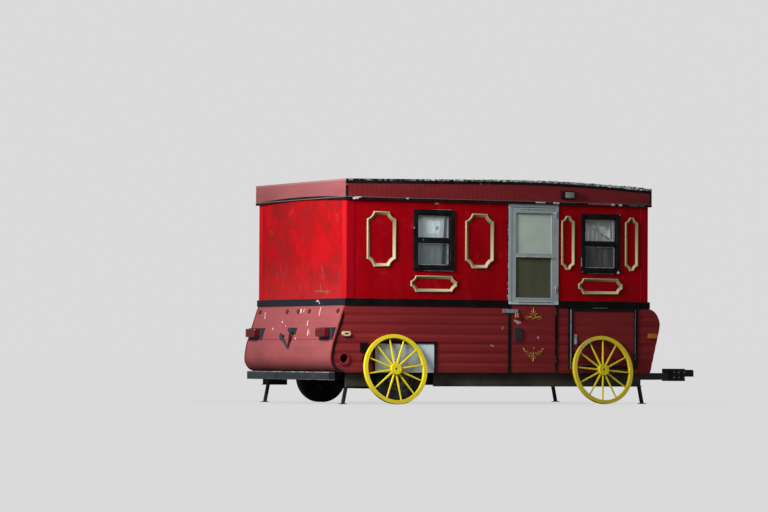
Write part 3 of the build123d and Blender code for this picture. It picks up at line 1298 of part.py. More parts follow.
with BuildPart() as side_markers:
    with BuildSketch(KERB_FACE):
        with Locations((REAR_X + MARKER_FROM_REAR, MARKER_HEIGHT)):
            SlotOverall(MARKER_WIDTH, MARKER_TALL)
        with Locations((REAR_X + AMBER_FROM_REAR, AMBER_HEIGHT)):
            Rectangle(AMBER_WIDTH, AMBER_TALL)
            chamfer(vertices(), AMBER_TALL / 5)
    extrude(amount=MARKER_PROUD)
    mirror(about=CENTRE)

with BuildPart() as porch_lamp:
    with BuildSketch(KERB_FACE.offset(ROOF_LIP)):
        panel(PORCH_FROM_REAR, PORCH_BOTTOM, PORCH_WIDTH, PORCH_HEIGHT)
    extrude(amount=PORCH_DEPTH)
    fillet(porch_lamp.edges().filter_by(Axis.X).group_by(Axis.Y)[0], PORCH_HEIGHT / 5)

with BuildPart() as side_fittings:
    with BuildSketch(KERB_FACE):
        panel(LATCH_FROM_REAR, LATCH_BOTTOM, LATCH_WIDTH, LATCH_HEIGHT)
    extrude(amount=LATCH_PROUD / 3)
    with BuildSketch(KERB_FACE):
        grip = LATCH_WIDTH / 4
        panel(LATCH_FROM_REAR + grip, LATCH_BOTTOM + grip, LATCH_WIDTH - 2 * grip, LATCH_HEIGHT / 2)
    extrude(amount=LATCH_PROUD)
    with BuildSketch(KERB_FACE):
        with Locations((REAR_X + PORT_FROM_REAR, PORT_HEIGHT)):
            Circle(PORT_RADIUS)
            Circle(PORT_HOLE_RADIUS, mode=Mode.SUBTRACT)
    extrude(amount=PORT_PROUD)
    with BuildSketch(KERB_FACE):
        with Locations((REAR_X + INLET_FROM_REAR, PORT_HEIGHT)):
            Circle(INLET_RADIUS)
        panel(VENT_FROM_REAR, VENT_BOTTOM, VENT_WIDTH, VENT_HEIGHT)
    extrude(amount=VENT_PROUD)
    slat_pitch = VENT_HEIGHT / (VENT_SLATS + 1)
    with BuildSketch(KERB_FACE.offset(VENT_PROUD)):
        for place in range(VENT_SLATS):
            bottom = VENT_BOTTOM + slat_pitch * (place + 0.75)
            panel(VENT_FROM_REAR + slat_pitch, bottom, VENT_WIDTH - 2 * slat_pitch, slat_pitch / 2)
    extrude(amount=-VENT_PROUD / 2, mode=Mode.SUBTRACT)

PIECES = {
    "main_rails": main_rails,
    "tongue_beams": tongue_beams,
    "cross_members": cross_members,
    "side_sills": side_sills,
    "tongue_head": tongue_head,
    "coupler": coupler,
    "bumper": bumper,
    "floor_deck": floor_deck,
    "wheel_boxes": wheel_boxes,
    "lower_sides": lower_sides,
    "lower_ends": lower_ends,
    "wheel_skirts": wheel_skirts,
    "side_trims": side_trims,
    "hatch_panel": hatch_panel,
    "belt": belt,
    "upper_sides": upper_sides,
    "upper_ends": upper_ends,
    "corner_boards": corner_boards,
    "roof_band": roof_band,
    "roof_skin": roof_skin,
    "roof_trims": roof_trims,
    "window_frames": window_frames,
    "window_sashes": window_sashes,
    "window_glass": window_glass,
    "curtains": curtains,
    "mouldings": mouldings,
    "door_frame": door_frame,
    "door_upper": door_upper,
    "door_glass": door_glass,
    "door_screen": door_screen,
    "door_lower": door_lower,
    "door_hinges": door_hinges,
    "door_hardware": door_hardware,
    "axle_beam": axle_beam,
    "leaf_springs": leaf_springs,
    "spring_hangers": spring_hangers,
    "tyre_kerb": tyre_kerb,
    "rim_kerb": rim_kerb,
    "hub_kerb": hub_kerb,
    "tyre_far": tyre_far,
    "rim_far": rim_far,
    "hub_far": hub_far,
    "leg_brackets": leg_brackets,
    "leg_rear_kerb": leg_rear_kerb,
    "leg_front_kerb": leg_front_kerb,
    "leg_rear_far": leg_rear_far,
    "leg_front_far": leg_front_far,
    "wagon_rims": wagon_rims,
    "wagon_hubs": wagon_hubs,
    "wagon_spokes": wagon_spokes,
    "tail_lamps": tail_lamps,
    "rear_brackets": rear_brackets,
    "marker_lamps": marker_lamps,
    "side_markers": side_markers,
    "porch_lamp": porch_lamp,
    "side_fittings": side_fittings,
}
for name, piece in PIECES.items():
    piece.part.label = name
    export_step(piece.part, f"parts/{name}.step")
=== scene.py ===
"""Looks of the vardo wagon: finishes, trim, curtains and small fittings over the CAD frame.

Metres, in the CAD's frame: +X points forward, -Y is the kerb side with the door, +Z is up. Lengths
named from_rear are measured from the rear upper wall, and heights from the ground.
"""
import math
import random

import bpy
from mathutils import Matrix, Vector, noise


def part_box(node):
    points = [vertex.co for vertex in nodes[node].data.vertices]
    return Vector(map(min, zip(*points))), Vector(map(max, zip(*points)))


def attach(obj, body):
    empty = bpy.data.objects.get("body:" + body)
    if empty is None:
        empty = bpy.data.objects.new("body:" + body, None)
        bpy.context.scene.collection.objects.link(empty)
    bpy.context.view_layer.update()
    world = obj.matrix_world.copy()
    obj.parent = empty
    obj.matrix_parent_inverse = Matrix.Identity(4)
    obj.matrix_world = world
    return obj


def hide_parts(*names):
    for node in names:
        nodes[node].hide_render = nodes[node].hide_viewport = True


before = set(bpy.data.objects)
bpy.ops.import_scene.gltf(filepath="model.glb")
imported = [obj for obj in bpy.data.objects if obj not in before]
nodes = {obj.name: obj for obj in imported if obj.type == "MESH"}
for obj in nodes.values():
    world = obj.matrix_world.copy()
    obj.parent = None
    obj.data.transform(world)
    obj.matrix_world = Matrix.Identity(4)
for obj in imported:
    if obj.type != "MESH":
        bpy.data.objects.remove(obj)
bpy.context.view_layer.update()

# Faces of the body, read from the frame
wall_low, wall_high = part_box("upper_sides")
REAR_X, KERB_Y, BELT_TOP = wall_low
FRONT_X, FAR_Y, WALL_TOP = wall_high
MID_Y = (KERB_Y + FAR_Y) / 2
MIDDLE_X = (REAR_X + FRONT_X) / 2
KERB = -1
FAR = 1


# Geometry helpers
def side_point(from_rear, height, proud=0.0, side=KERB):
    """A point on a side face, by its distance from the rear wall, its height and how far it stands out."""
    face_y = KERB_Y if side == KERB else FAR_Y
    return Vector((REAR_X + from_rear, face_y + side * proud, height))


def solids(node):
    """The boxes of a node's separate solids, as (lowest corner, highest corner)."""
    mesh = nodes[node].data
    spots = {}
    spot_of = []
    for vertex in mesh.vertices:
        key = tuple(round(c, 5) for c in vertex.co)
        spot_of.append(spots.setdefault(key, len(spots)))
    leader = list(range(len(spots)))

    def find(place):
        while leader[place] != place:
            leader[place] = leader[leader[place]]
            place = leader[place]
        return place

    for polygon in mesh.polygons:
        first = find(spot_of[polygon.vertices[0]])
        for index in polygon.vertices[1:]:
            leader[find(spot_of[index])] = first
    groups = {}
    for index, vertex in enumerate(mesh.vertices):
        groups.setdefault(find(spot_of[index]), []).append(vertex.co)
    boxes = []
    for points in groups.values():
        low = Vector([min(p[axis] for p in points) for axis in range(3)])
        high = Vector([max(p[axis] for p in points) for axis in range(3)])
        boxes.append((low, high))
    return sorted(boxes, key=lambda pair: (round(pair[0].x, 3), round(pair[0].y, 3), pair[0].z))


def across(axis):
    """Two unit vectors square to an axis and to each other."""
    axis = Vector(axis).normalized()
    guide = Vector((0, 0, 1)) if abs(axis.z) < 0.9 else Vector((1, 0, 0))
    first = axis.cross(guide).normalized()
    return first, axis.cross(first).normalized()


def circle(middle, plane, radius, sides):
    """Points round a circle in the plane of two unit vectors."""
    first, second = plane
    points = []
    for place in range(sides):
        angle = 2 * math.pi * place / sides
        points.append(middle + radius * (first * math.cos(angle) + second * math.sin(angle)))
    return points


def facing(low, high):
    """The side that a box is on, and the y of its outer face."""
    return (KERB, low.y) if low.y < MID_Y else (FAR, high.y)


class Shape:
    """Vertices and faces gathered for one piece."""

    def __init__(self):
        self.verts = []
        self.faces = []

    def add(self, verts, faces):
        start = len(self.verts)
        self.verts.extend(Vector(v) for v in verts)
        self.faces.extend([start + i for i in face] for face in faces)

    def box(self, low, high):
        xs, ys, zs = zip(low, high)
        verts = [(x, y, z) for z in zs for y in ys for x in xs]
        faces = [(0, 2, 3, 1), (4, 5, 7, 6), (0, 1, 5, 4), (2, 6, 7, 3), (0, 4, 6, 2), (1, 3, 7, 5)]
        self.add(verts, faces)

    def loft(self, rings, capped=True):
        """Skins equal rings of points in order, with flat caps if capped."""
        count = len(rings[0])
        verts = [point for ring in rings for point in ring]
        faces = []
        for here in range(0, len(verts) - count, count):
            there = here + count
            for place in range(count):
                after = (place + 1) % count
                faces.append((here + place, here + after, there + after, there + place))
        if capped:
            faces.append(tuple(reversed(range(count))))
            faces.append(tuple(range(len(verts) - count, len(verts))))
        self.add(verts, faces)

    def lathe(self, centre, axis, profile, sides):
        """Turns (distance along the axis, radius) points about the axis."""
        axis = Vector(axis).normalized()
        plane = across(axis)
        self.loft([circle(Vector(centre) + axis * along, plane, radius, sides) for along, radius in profile])

    def rod(self, start, end, radius, sides):
        start, end = Vector(start), Vector(end)
        axis = end - start
        self.lathe(start, axis, ((0, radius), (axis.length, radius)), sides)

    def tube(self, path, radii, sides):
        """A round tube along points, with a radius for each."""
        path = [Vector(p) for p in path]
        rings = []
        for place, point in enumerate(path):
            heading = path[min(place + 1, len(path) - 1)] - path[max(place - 1, 0)]
            first, second = across(heading)
            if rings:
                heading = heading.normalized()
                first = last_first - heading * last_first.dot(heading)
                first.normalize()
                second = heading.cross(first)
            last_first = first
            rings.append(circle(point, (first, second), radii[place], sides))
        self.loft(rings)

    def piece(self, name, look, slot, body="trailer", bevel=0.0, smooth=True, angle=35):
        mesh = bpy.data.meshes.new(name)
        mesh.from_pydata(self.verts, [], self.faces)
        mesh.validate()
        mesh.materials.append(MATERIALS[look])
        obj = bpy.data.objects.new(name, mesh)
        bpy.context.scene.collection.objects.link(obj)
        if smooth:
            mesh.shade_smooth()
            mesh.set_sharp_from_angle(angle=math.radians(angle))
        if bevel:
            soften(obj, bevel)
        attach(obj, body)
        return obj


def soften(obj, width):
    """Rounds an object's sharp edges without touching its mesh."""
    weld = obj.modifiers.new("weld", "WELD")
    weld.merge_threshold = 0.00005
    bevel = obj.modifiers.new("bevel", "BEVEL")
    bevel.width = width
    bevel.segments = 2
    bevel.limit_method = "ANGLE"
    bevel.angle_limit = math.radians(32)
    bevel.use_clamp_overlap = True
    bevel.harden_normals = True


# Node graph helpers
class Graph:
    """A material's node tree, built by short calls. Colours are linear, and tone is the paint so far."""

    def __init__(self, name, roughness=0.5, metallic=0.0, specular=0.10, coat=0.0):
        self.material = bpy.data.materials.new(name)
        self.material.use_nodes = True
        self.tree = self.material.node_tree
        self.shader = self.tree.nodes["Principled BSDF"]
        self.shader.inputs["Roughness"].default_value = roughness
        self.shader.inputs["Metallic"].default_value = metallic
        self.shader.inputs["Specular IOR Level"].default_value = specular
        if coat:
            self.shader.inputs["Coat Weight"].default_value = coat
            self.shader.inputs["Coat Roughness"].default_value = 0.2
        self.coords = self.tree.nodes.new("ShaderNodeTexCoord").outputs["Object"]
        self.tone = None

    def node(self, kind, **settings):
        made = self.tree.nodes.new(kind)
        for key, value in settings.items():
            setattr(made, key, value)
        return made

    def put(self, socket, value):
        if isinstance(value, bpy.types.NodeSocket):
            self.tree.links.new(value, socket)
        elif isinstance(value, (tuple, list)) and len(value) == 3 and socket.type == "RGBA":
            socket.default_value = (*value, 1.0)
        else:
            socket.default_value = value

    def noise(self, scale, detail=5.0, rough=0.55, stretch=(1, 1, 1), offset=(0, 0, 0), bend=0.0):
        mapping = self.node("ShaderNodeMapping")
        self.put(mapping.inputs["Vector"], self.coords)
        mapping.inputs["Scale"].default_value = stretch
        mapping.inputs["Location"].default_value = offset
        made = self.node("ShaderNodeTexNoise")
        self.put(made.inputs["Vector"], mapping.outputs["Vector"])
        made.inputs["Scale"].default_value = scale
        made.inputs["Detail"].default_value = detail
        made.inputs["Roughness"].default_value = rough
        made.inputs["Distortion"].default_value = bend
        return made.outputs["Fac"]

    def waves(self, direction, scale):
        made = self.node("ShaderNodeTexWave", wave_type="BANDS", bands_direction=direction)
        self.put(made.inputs["Vector"], self.coords)
        made.inputs["Scale"].default_value = scale
        return made.outputs["Fac"]

    def between(self, value, low, high, low_out=0.0, high_out=1.0):
        made = self.node("ShaderNodeMapRange", clamp=True)
        self.put(made.inputs["Value"], value)
        made.inputs["From Min"].default_value = low
        made.inputs["From Max"].default_value = high
        made.inputs["To Min"].default_value = low_out
        made.inputs["To Max"].default_value = high_out
        return made.outputs["Result"]

    def patches(self, scale, low, high, low_out=0.0, high_out=1.0, **look):
        """Noise, spread between two of its levels."""
        return self.between(self.noise(scale, **look), low, high, low_out, high_out)

    def ramp(self, name, low, high, low_out=0.0, high_out=1.0):
        """A change along a coordinate, between two of its values."""
        return self.between(self.axis(name), low, high, low_out, high_out)

    def calc(self, first, operation, second):
        made = self.node("ShaderNodeMath", operation=operation)
        self.put(made.inputs[0], first)
        self.put(made.inputs[1], second)
        return made.outputs[0]

    def times(self, first, second):
        return self.calc(first, "MULTIPLY", second)

    def mix(self, share, first, second):
        made = self.node("ShaderNodeMix", data_type="RGBA")
        self.put(made.inputs[0], share)
        self.put(made.inputs[6], first)
        self.put(made.inputs[7], second)
        return made.outputs[2]

    def over(self, share, tint, strength=None):
        """Lays a tint over the tone where share is 1, or a part of it that strength gives."""
        if strength is not None:
            share = self.times(share, strength)
        self.tone = self.mix(share, self.tone, tint)

    def axis(self, name):
        made = self.node("ShaderNodeSeparateXYZ")
        self.put(made.inputs[0], self.coords)
        return made.outputs[name]

    def near(self, place, reach, soft):
        """1 close to a point and 0 beyond its reach."""
        made = self.node("ShaderNodeVectorMath", operation="DISTANCE")
        self.put(made.inputs[0], self.coords)
        made.inputs[1].default_value = place
        return self.between(made.outputs["Value"], reach, reach + soft, 1.0, 0.0)

    def span(self, name, low, high, soft):
        """1 between two values of a coordinate, fading out over soft."""
        value = self.axis(name)
        rise = self.between(value, low - soft, low)
        return self.times(rise, self.between(value, high, high + soft, 1.0, 0.0))

    def stroke(self, start, end, width, soft):
        """1 along a straight mark between two points, seen square to the face that they lie on."""
        run = end - start
        flat = Vector((1, 0, 1)) if abs(run.y) < 1e-6 else Vector((0, 1, 1))
        on_face = self.node("ShaderNodeVectorMath", operation="MULTIPLY")
        self.put(on_face.inputs[0], self.coords)
        on_face.inputs[1].default_value = flat
        away = self.node("ShaderNodeVectorMath", operation="SUBTRACT")
        self.put(away.inputs[0], on_face.outputs[0])
        away.inputs[1].default_value = start * flat
        along = self.node("ShaderNodeVectorMath", operation="DOT_PRODUCT")
        self.put(along.inputs[0], away.outputs[0])
        along.inputs[1].default_value = run * flat / max((run * flat).length_squared, 1e-9)
        reach = self.node("ShaderNodeVectorMath", operation="SCALE")
        reach.inputs[0].default_value = run * flat
        self.put(reach.inputs["Scale"], self.between(along.outputs["Value"], 0.0, 1.0))
        gap = self.node("ShaderNodeVectorMath", operation="DISTANCE")
        self.put(gap.inputs[0], away.outputs[0])
        self.put(gap.inputs[1], reach.outputs[0])
        return self.between(gap.outputs["Value"], width / 2, width / 2 + soft, 1.0, 0.0)

    def attribute(self, name):
        made = self.node("ShaderNodeAttribute", attribute_name=name)
        return made.outputs["Fac"]

    def rough(self, share, low, high):
        """Roughness that follows a share from 0 to 1."""
        self.put(self.shader.inputs["Roughness"], self.between(share, 0, 1, low, high))

    def bump(self, height, distance, strength):
        made = self.node("ShaderNodeBump")
        made.inputs["Strength"].default_value = strength
        made.inputs["Distance"].default_value = distance
        self.put(made.inputs["Height"], height)
        current = self.shader.inputs["Normal"]
        if current.is_linked:
            self.put(made.inputs["Normal"], current.links[0].from_socket)
        self.put(current, made.outputs["Normal"])

    def grain(self, scale, distance, strength, **look):
        """A bump whose height is noise."""
        self.bump(self.noise(scale, **look), distance, strength)

    def painted(self):
        """The material, with the tone as its colour."""
        self.put(self.shader.inputs["Base Color"], self.tone)
        return self.material


# Colours, linear
RED = (0.262, 0.0004, 0.0028)
RED_DEEP = (0.195, 0.0003, 0.0022)
RED_WORN = (0.320, 0.0024, 0.0110)
CORNER_RED = (0.215, 0.0004, 0.0030)
REAR_RED = (0.222, 0.0022, 0.0038)
REAR_BRIGHT = (0.262, 0.0028, 0.0046)
REAR_DULL = (0.165, 0.0050, 0.0065)
REAR_EDGE = (0.300, 0.0060, 0.0090)
MAROON = (0.200, 0.0212, 0.0240)
MAROON_DEEP = (0.138, 0.0120, 0.0138)
# Rear sheet's pink: partly bleached paint, partly painted sheen
MAROON_FADED_AND_SHEEN = (0.205, 0.048, 0.051)
# Painted shadow under the plate lamp's hood
MAROON_PAINTED_SHADOW = (0.040, 0.007, 0.008)
BAND = (0.148, 0.0130, 0.0158)
BAND_FADED = (0.150, 0.040, 0.043)
BLACK = (0.0030, 0.0031, 0.0034)
BLACK_WORN = (0.018, 0.019, 0.021)
SLATE = (0.0065, 0.0085, 0.0120)
PRIMER = (0.42, 0.42, 0.40)
GOLD = (0.335, 0.305, 0.168)
# Painted highlight and painted shade on the mouldings' slopes, then painted shade in their recesses
GOLD_LIT = (0.600, 0.530, 0.350)
GOLD_SHADED = (0.110, 0.088, 0.026)
GOLD_RECESS_SHADE = (0.150, 0.115, 0.040)
YELLOW = (0.560, 0.450, 0.008)
YELLOW_LIGHT = (0.640, 0.535, 0.030)
# Painted shade for the front wheel
YELLOW_SHADED_FRONT = (0.470, 0.390, 0.022)
GREY_PAINT = (0.360, 0.405, 0.400)
GREY_STAIN = (0.200, 0.222, 0.190)
# Painted light for the front of the skirt
GREY_PAINTED_LIGHT = (0.520, 0.600, 0.640)
STORM = (0.262, 0.303, 0.312)
DUST = (0.16, 0.125, 0.090)
RUST = (0.070, 0.026, 0.012)
STEEL = (0.16, 0.165, 0.165)
ZINC = (0.24, 0.27, 0.29)
RUBBER = (0.012, 0.012, 0.013)
BEAD = (0.270, 0.300, 0.310)
BIRD_WHITE = (0.62, 0.60, 0.55)
DROPPING = (0.46, 0.41, 0.38)

# Places of marks, from the photograph: on a side by distance from the rear and height, on the rear by
# distance from the kerb face and height. Each row is start, end, width
STORM_SMEARS = (((2.012, 0.889), (2.078, 0.868), 0.014), ((2.030, 0.878), (2.055, 0.858), 0.012))
STORM_SCUFFS = (((2.025, 0.648), (2.060, 0.650), 0.012), ((2.085, 0.642), (2.123, 0.640), 0.012))
SIDE_CHIPS = (((1.870, 0.822), (1.862, 0.795), 0.008), ((1.725, 0.625), (1.752, 0.618), 0.010))
SIDE_SPOTS = (((2.300, 0.714), (2.304, 0.708), 0.018), ((2.245, 0.600), (2.248, 0.596), 0.010))
REAR_STREAKS = (
    ((1.850, 0.965), (1.820, 0.905), 0.008),
    ((0.545, 1.012), (0.530, 0.930), 0.007),
    ((0.752, 0.870), (0.735, 0.825), 0.009),
    ((0.682, 0.778), (0.660, 0.718), 0.010),
    ((1.360, 0.866), (1.357, 0.860), 0.012),
    ((1.250, 0.822), (1.248, 0.818), 0.006),
    ((1.545, 0.794), (1.542, 0.788), 0.014),
    ((1.735, 0.756), (1.732, 0.746), 0.010),
    ((1.000, 0.990), (0.985, 0.965), 0.020),
    ((0.925, 0.996), (0.920, 0.970), 0.008),
    ((0.925, 0.694), (0.920, 0.680), 0.008),
    ((0.640, 0.755), (0.634, 0.735), 0.005),
)
BELT_DROPPING = (
    ((0.650, 1.074), (0.622, 1.086), 0.006),
    ((0.622, 1.086), (0.592, 1.073), 0.008),
    ((0.592, 1.073), (0.572, 1.050), 0.005),
)
TWIG_MARK = (
    ((0.730, 1.186), (0.390, 1.176), 0.008),
    ((0.600, 1.245), (0.590, 1.170), 0.007),
    ((0.455, 1.162), (0.440, 1.184), 0.022),
)
SEAM_HEIGHT = 0.674
TRIM_CHIPS = (
    ((0.062, 2.146), (0.112, 2.152), 0.018),
    ((0.118, 2.160), (0.150, 2.161), 0.006),
    ((0.690, 2.157), (0.704, 2.158), 0.012),
    ((2.250, 2.152), (2.360, 2.151), 0.006),
    ((2.470, 2.150), (2.530, 2.149), 0.010),
    ((3.192, 2.150), (3.222, 2.150), 0.014),
    ((3.288, 2.148), (3.312, 2.146), 0.015),
)
TRIM_RUST = (((2.90, 2.152), (3.17, 2.149), 0.009),)
WALL_DROPPING = (((1.046, 2.108), (1.062, 2.115), 0.008), ((1.062, 2.115), (1.084, 2.112), 0.008))
TRIM_GREY = (((3.42, 2.144), (3.52, 2.143), 0.012), ((3.55, 2.143), (3.60, 2.142), 0.009))


def rear_point(from_kerb, height):
    return Vector((REAR_X, KERB_Y + from_kerb, height))


def dimmed(colour, share):
    return tuple(c * share for c in colour)


def mark(graph, tint, rows, place=side_point, soft=0.006, strength=1.0):
    """Lays straight marks of one tint over the tone, on the kerb side or the rear alone."""
    name, middle = ("Y", MID_Y) if place is side_point else ("X", MIDDLE_X)
    ragged = graph.patches(70.0, 0.36, 0.52, 0.35, 1.0, rough=0.7)
    ragged = graph.times(ragged, graph.ramp(name, middle, middle + 0.01, 1.0, 0.0))
    for start, end, width in rows:
        share = graph.times(graph.stroke(place(*start), place(*end), width, soft), ragged)
        graph.over(share, tint, strength)


def chip(graph, under, amount, scale=38.0):
    """Small flakes where paint has gone: amount is the share that is bare, roughly."""
    spots = graph.patches(scale, 0.70 - amount, 0.72 - amount, detail=6.0, rough=0.7, offset=(3, 1, 7))
    gate = graph.patches(2.2, 0.50, 0.58, detail=3.0, offset=(1, 7, 3))
    graph.over(graph.times(spots, gate), under)


def dusty(graph, top, strength, tint=DUST):
    """Road dust that thickens towards the ground, below a height."""
    height = graph.ramp("Z", 0.15, top, 1.0, 0.0)
    graph.over(graph.times(height, graph.patches(4.0, 0.35, 0.75, detail=6.0)), tint, strength)


def wall_red():
    graph = Graph("wall_red", roughness=0.55, specular=0.025)
    clouds = graph.patches(2.6, 0.38, 0.62, detail=8.0, rough=0.66, stretch=(1, 1, 0.6))
    graph.tone = graph.mix(clouds, RED_DEEP, RED)
    graph.over(graph.patches(11.0, 0.34, 0.72, rough=0.6, stretch=(1, 1, 0.09)), RED_WORN, 0.34)
    scuffed = graph.patches(6.0, 0.56, 0.70, detail=7.0, rough=0.7, offset=(8, 1, 3))
    graph.over(scuffed, (0.36, 0.018, 0.030), 0.30)
    dark = graph.patches(4.0, 0.55, 0.68, detail=6.0, rough=0.65, offset=(2, 7, 5))
    graph.over(dark, (0.120, 0.0004, 0.0016), 0.35)
    graph.over(graph.ramp("Z", BELT_TOP, BELT_TOP + 0.25, 0.25, 0.0), RED_DEEP)
    chip(graph, (0.30, 0.10, 0.11), 0.008)
    mark(graph, (0.40, 0.34, 0.33), WALL_DROPPING, soft=0.004)
    graph.rough(clouds, 0.44, 0.60)
    graph.grain(120.0, 0.0007, 0.6, detail=4.0, stretch=(1, 1, 0.05))
    graph.grain(5.0, 0.004, 0.35, detail=3.0)
    return graph.painted()


def edge_red(name, base, light):
    """The corner boards' paint, brushed on over the joint."""
    graph = Graph(name, roughness=0.55, specular=0.025)
    brushed = graph.patches(8.0, 0.34, 0.70, detail=6.0, rough=0.62, stretch=(1, 1, 0.25))
    graph.tone = graph.mix(brushed, base, light)
    if name == "rear_edge_red":
        graph.over(graph.ramp("Y", KERB_Y - 0.0045, KERB_Y - 0.002, 0.75, 0.0), (0.085, 0.055, 0.022))
    graph.grain(110.0, 0.0006, 0.5, detail=4.0, stretch=(1, 1, 0.05))
    return graph.painted()


def rear_wall_red():
    """The rear wall, whose paint has clouded in patches and dulled towards its foot."""
    graph = Graph("rear_wall_red", roughness=0.60, specular=0.03)
    clouds = graph.noise(2.7, detail=8.0, rough=0.64, stretch=(1, 0.8, 1.15), bend=0.7)
    fine = graph.noise(11.0, detail=6.0, rough=0.66, offset=(4, 2, 1), bend=0.4)
    both = graph.calc(graph.times(clouds, 0.66), "ADD", graph.times(fine, 0.34))
    graph.tone = graph.mix(graph.between(both, 0.44, 0.50), REAR_DULL, REAR_RED)
    graph.over(graph.between(both, 0.50, 0.58), REAR_BRIGHT)
    graph.over(graph.ramp("Z", BELT_TOP, BELT_TOP + 0.45, 0.60, 0.0), (0.240, 0.0135, 0.0145))
    blotches = graph.patches(3.4, 0.50, 0.66, detail=7.0, rough=0.7, offset=(9, 3, 5))
    graph.over(blotches, (0.110, 0.0045, 0.0045), 0.45)
    head = graph.ramp("Z", WALL_TOP - 0.28, WALL_TOP, 0.0, 0.5)
    graph.over(graph.times(head, blotches), (0.100, 0.0070, 0.0060))
    worn = graph.patches(5.0, 0.60, 0.70, detail=8.0, rough=0.7, offset=(1, 6, 2), stretch=(1, 1, 0.5))
    graph.over(worn, (0.40, 0.060, 0.060), 0.40)
    mark(graph, (0.090, 0.070, 0.050), TWIG_MARK, place=rear_point, strength=0.8)
    graph.grain(95.0, 0.0008, 0.6, detail=4.0, stretch=(1, 1, 0.06))
    graph.grain(6.0, 0.005, 0.35, detail=3.0)
    return graph.painted()


def siding(name, base, deep):
    """Enamelled sheet with dirt lines along its length, small chips and painted shade towards the front."""
    graph = Graph(name, roughness=0.52, specular=0.04)
    lines = graph.patches(5.0, 0.32, 0.68, detail=6.0, rough=0.6, stretch=(0.10, 1, 3.2))
    graph.tone = graph.mix(lines, deep, base)
    # Painted shade: darker towards the front, as the light falls off along the side
    graph.over(graph.ramp("X", REAR_X + 1.2, REAR_X + 2.4, 0.0, 0.35), deep)
    clouds = graph.patches(1.3, 0.36, 0.66)
    graph.over(clouds, deep, 0.30)
    chip(graph, (0.40, 0.26, 0.27), 0.004, scale=46.0)
    dusty(graph, 0.50, 0.15)
    if name == "siding":
        mark(graph, (0.42, 0.40, 0.40), STORM_SMEARS, strength=0.8)
        mark(graph, (0.030, 0.016, 0.016), STORM_SCUFFS)
        mark(graph, (0.30, 0.20, 0.20), SIDE_CHIPS, strength=0.8)
        mark(graph, (0.42, 0.20, 0.21), SIDE_SPOTS)
    graph.rough(clouds, 0.42, 0.56)
    graph.grain(42.0, 0.0010, 0.5, detail=3.0, stretch=(0.08, 1, 1))
    graph.grain(3.0, 0.006, 0.35, detail=2.0)
    return graph.painted()


def rear_sheet():
    """The sloped rear sheet: pink, partly bleached paint and partly painted sheen, streaked white by birds,
    browner under its bulge.
    """
    graph = Graph("rear_sheet", roughness=0.62, specular=0.05)
    lines = graph.patches(4.0, 0.34, 0.68, detail=6.0, rough=0.6, stretch=(1, 0.10, 3.0))
    # Pink base, partly bleached paint and partly painted sheen
    graph.tone = graph.mix(lines, dimmed(MAROON_FADED_AND_SHEEN, 0.84), MAROON_FADED_AND_SHEEN)
    graph.over(graph.patches(1.8, 0.36, 0.66, detail=6.0, rough=0.6), (0.225, 0.062, 0.066), 0.4)
    # Browner in patches below the seam, under the bulge
    brown_patches = graph.patches(3.0, 0.50, 0.66, detail=6.0, rough=0.65, stretch=(1, 0.35, 1), offset=(6, 2, 4))
    below = graph.ramp("Z", SEAM_HEIGHT - 0.12, SEAM_HEIGHT + 0.02, 1.0, 0.35)
    graph.over(graph.times(brown_patches, below), (0.115, 0.036, 0.036), 0.6)
    graph.over(graph.ramp("Z", 0.34, 0.52, 0.80, 0.0), (0.105, 0.020, 0.018))
    graph.over(graph.ramp("Z", 0.985, 1.03, 0.0, 0.5), (0.13, 0.040, 0.030))
    seam = graph.span("Z", SEAM_HEIGHT - 0.003, SEAM_HEIGHT + 0.003, 0.003)
    graph.over(seam, (0.050, 0.014, 0.012), 0.6)
    mark(graph, DROPPING, REAR_STREAKS, place=rear_point, soft=0.005)
    graph.grain(60.0, 0.0008, 0.5, detail=4.0)
    graph.grain(3.0, 0.006, 0.35, detail=2.0)
    return graph.painted()


def band_paint():
    """The roof's side band, with the faint waves of its corrugated sheet."""
    graph = Graph("band", roughness=0.46, specular=0.08)
    clouds = graph.patches(1.6, 0.34, 0.66, stretch=(1, 1, 2))
    graph.tone = graph.mix(clouds, dimmed(BAND, 0.82), BAND)
    pale = graph.patches(3.0, 0.55, 0.72, detail=6.0, stretch=(1, 1, 3), offset=(7, 2, 2))
    graph.over(pale, BAND_FADED, 0.35)
    bleach = graph.mix(clouds, BAND_FADED, (0.170, 0.050, 0.054))
    high = graph.ramp("Z", WALL_TOP + 0.10, WALL_TOP + 0.22)
    bleach = graph.mix(graph.times(high, 0.35), bleach, (0.205, 0.072, 0.075))
    graph.over(graph.ramp("X", REAR_X - 0.012, REAR_X - 0.008, 1.0, 0.0), bleach)
    graph.bump(graph.waves("X", 5.5), 0.0012, 0.5)
    return graph.painted()


def black_paint(name, worn=0.012, dust=0.25, roughness=0.42, under=PRIMER, base=BLACK, rubbed=BLACK_WORN):
    graph = Graph(name, roughness=roughness, specular=0.07)
    patches = graph.patches(7.0, 0.42, 0.72, detail=6.0, rough=0.65)
    graph.tone = base
    graph.over(patches, rubbed, 0.45)
    chip(graph, under, worn, scale=30.0)
    dusty(graph, 0.55, dust)
    if name == "belt_black":
        graph.over(graph.ramp("X", REAR_X - 0.021, REAR_X - 0.018, 1.0, 0.0), SLATE)
        mark(graph, DROPPING, BELT_DROPPING, place=rear_point, soft=0.004)
    if name == "roof_trim":
        graph.over(graph.span("Z", WALL_TOP + 0.026, WALL_TOP + 0.030, 0.002), (0.16, 0.12, 0.11), 0.7)
        mark(graph, (0.20, 0.085, 0.095), TRIM_RUST, strength=0.8)
        mark(graph, (0.055, 0.060, 0.070), TRIM_GREY)
        mark(graph, (0.46, 0.44, 0.42), TRIM_CHIPS)
    graph.rough(patches, roughness - 0.06, roughness + 0.22)
    graph.grain(60.0, 0.0008, 0.5, detail=4.0)
    return graph.painted()


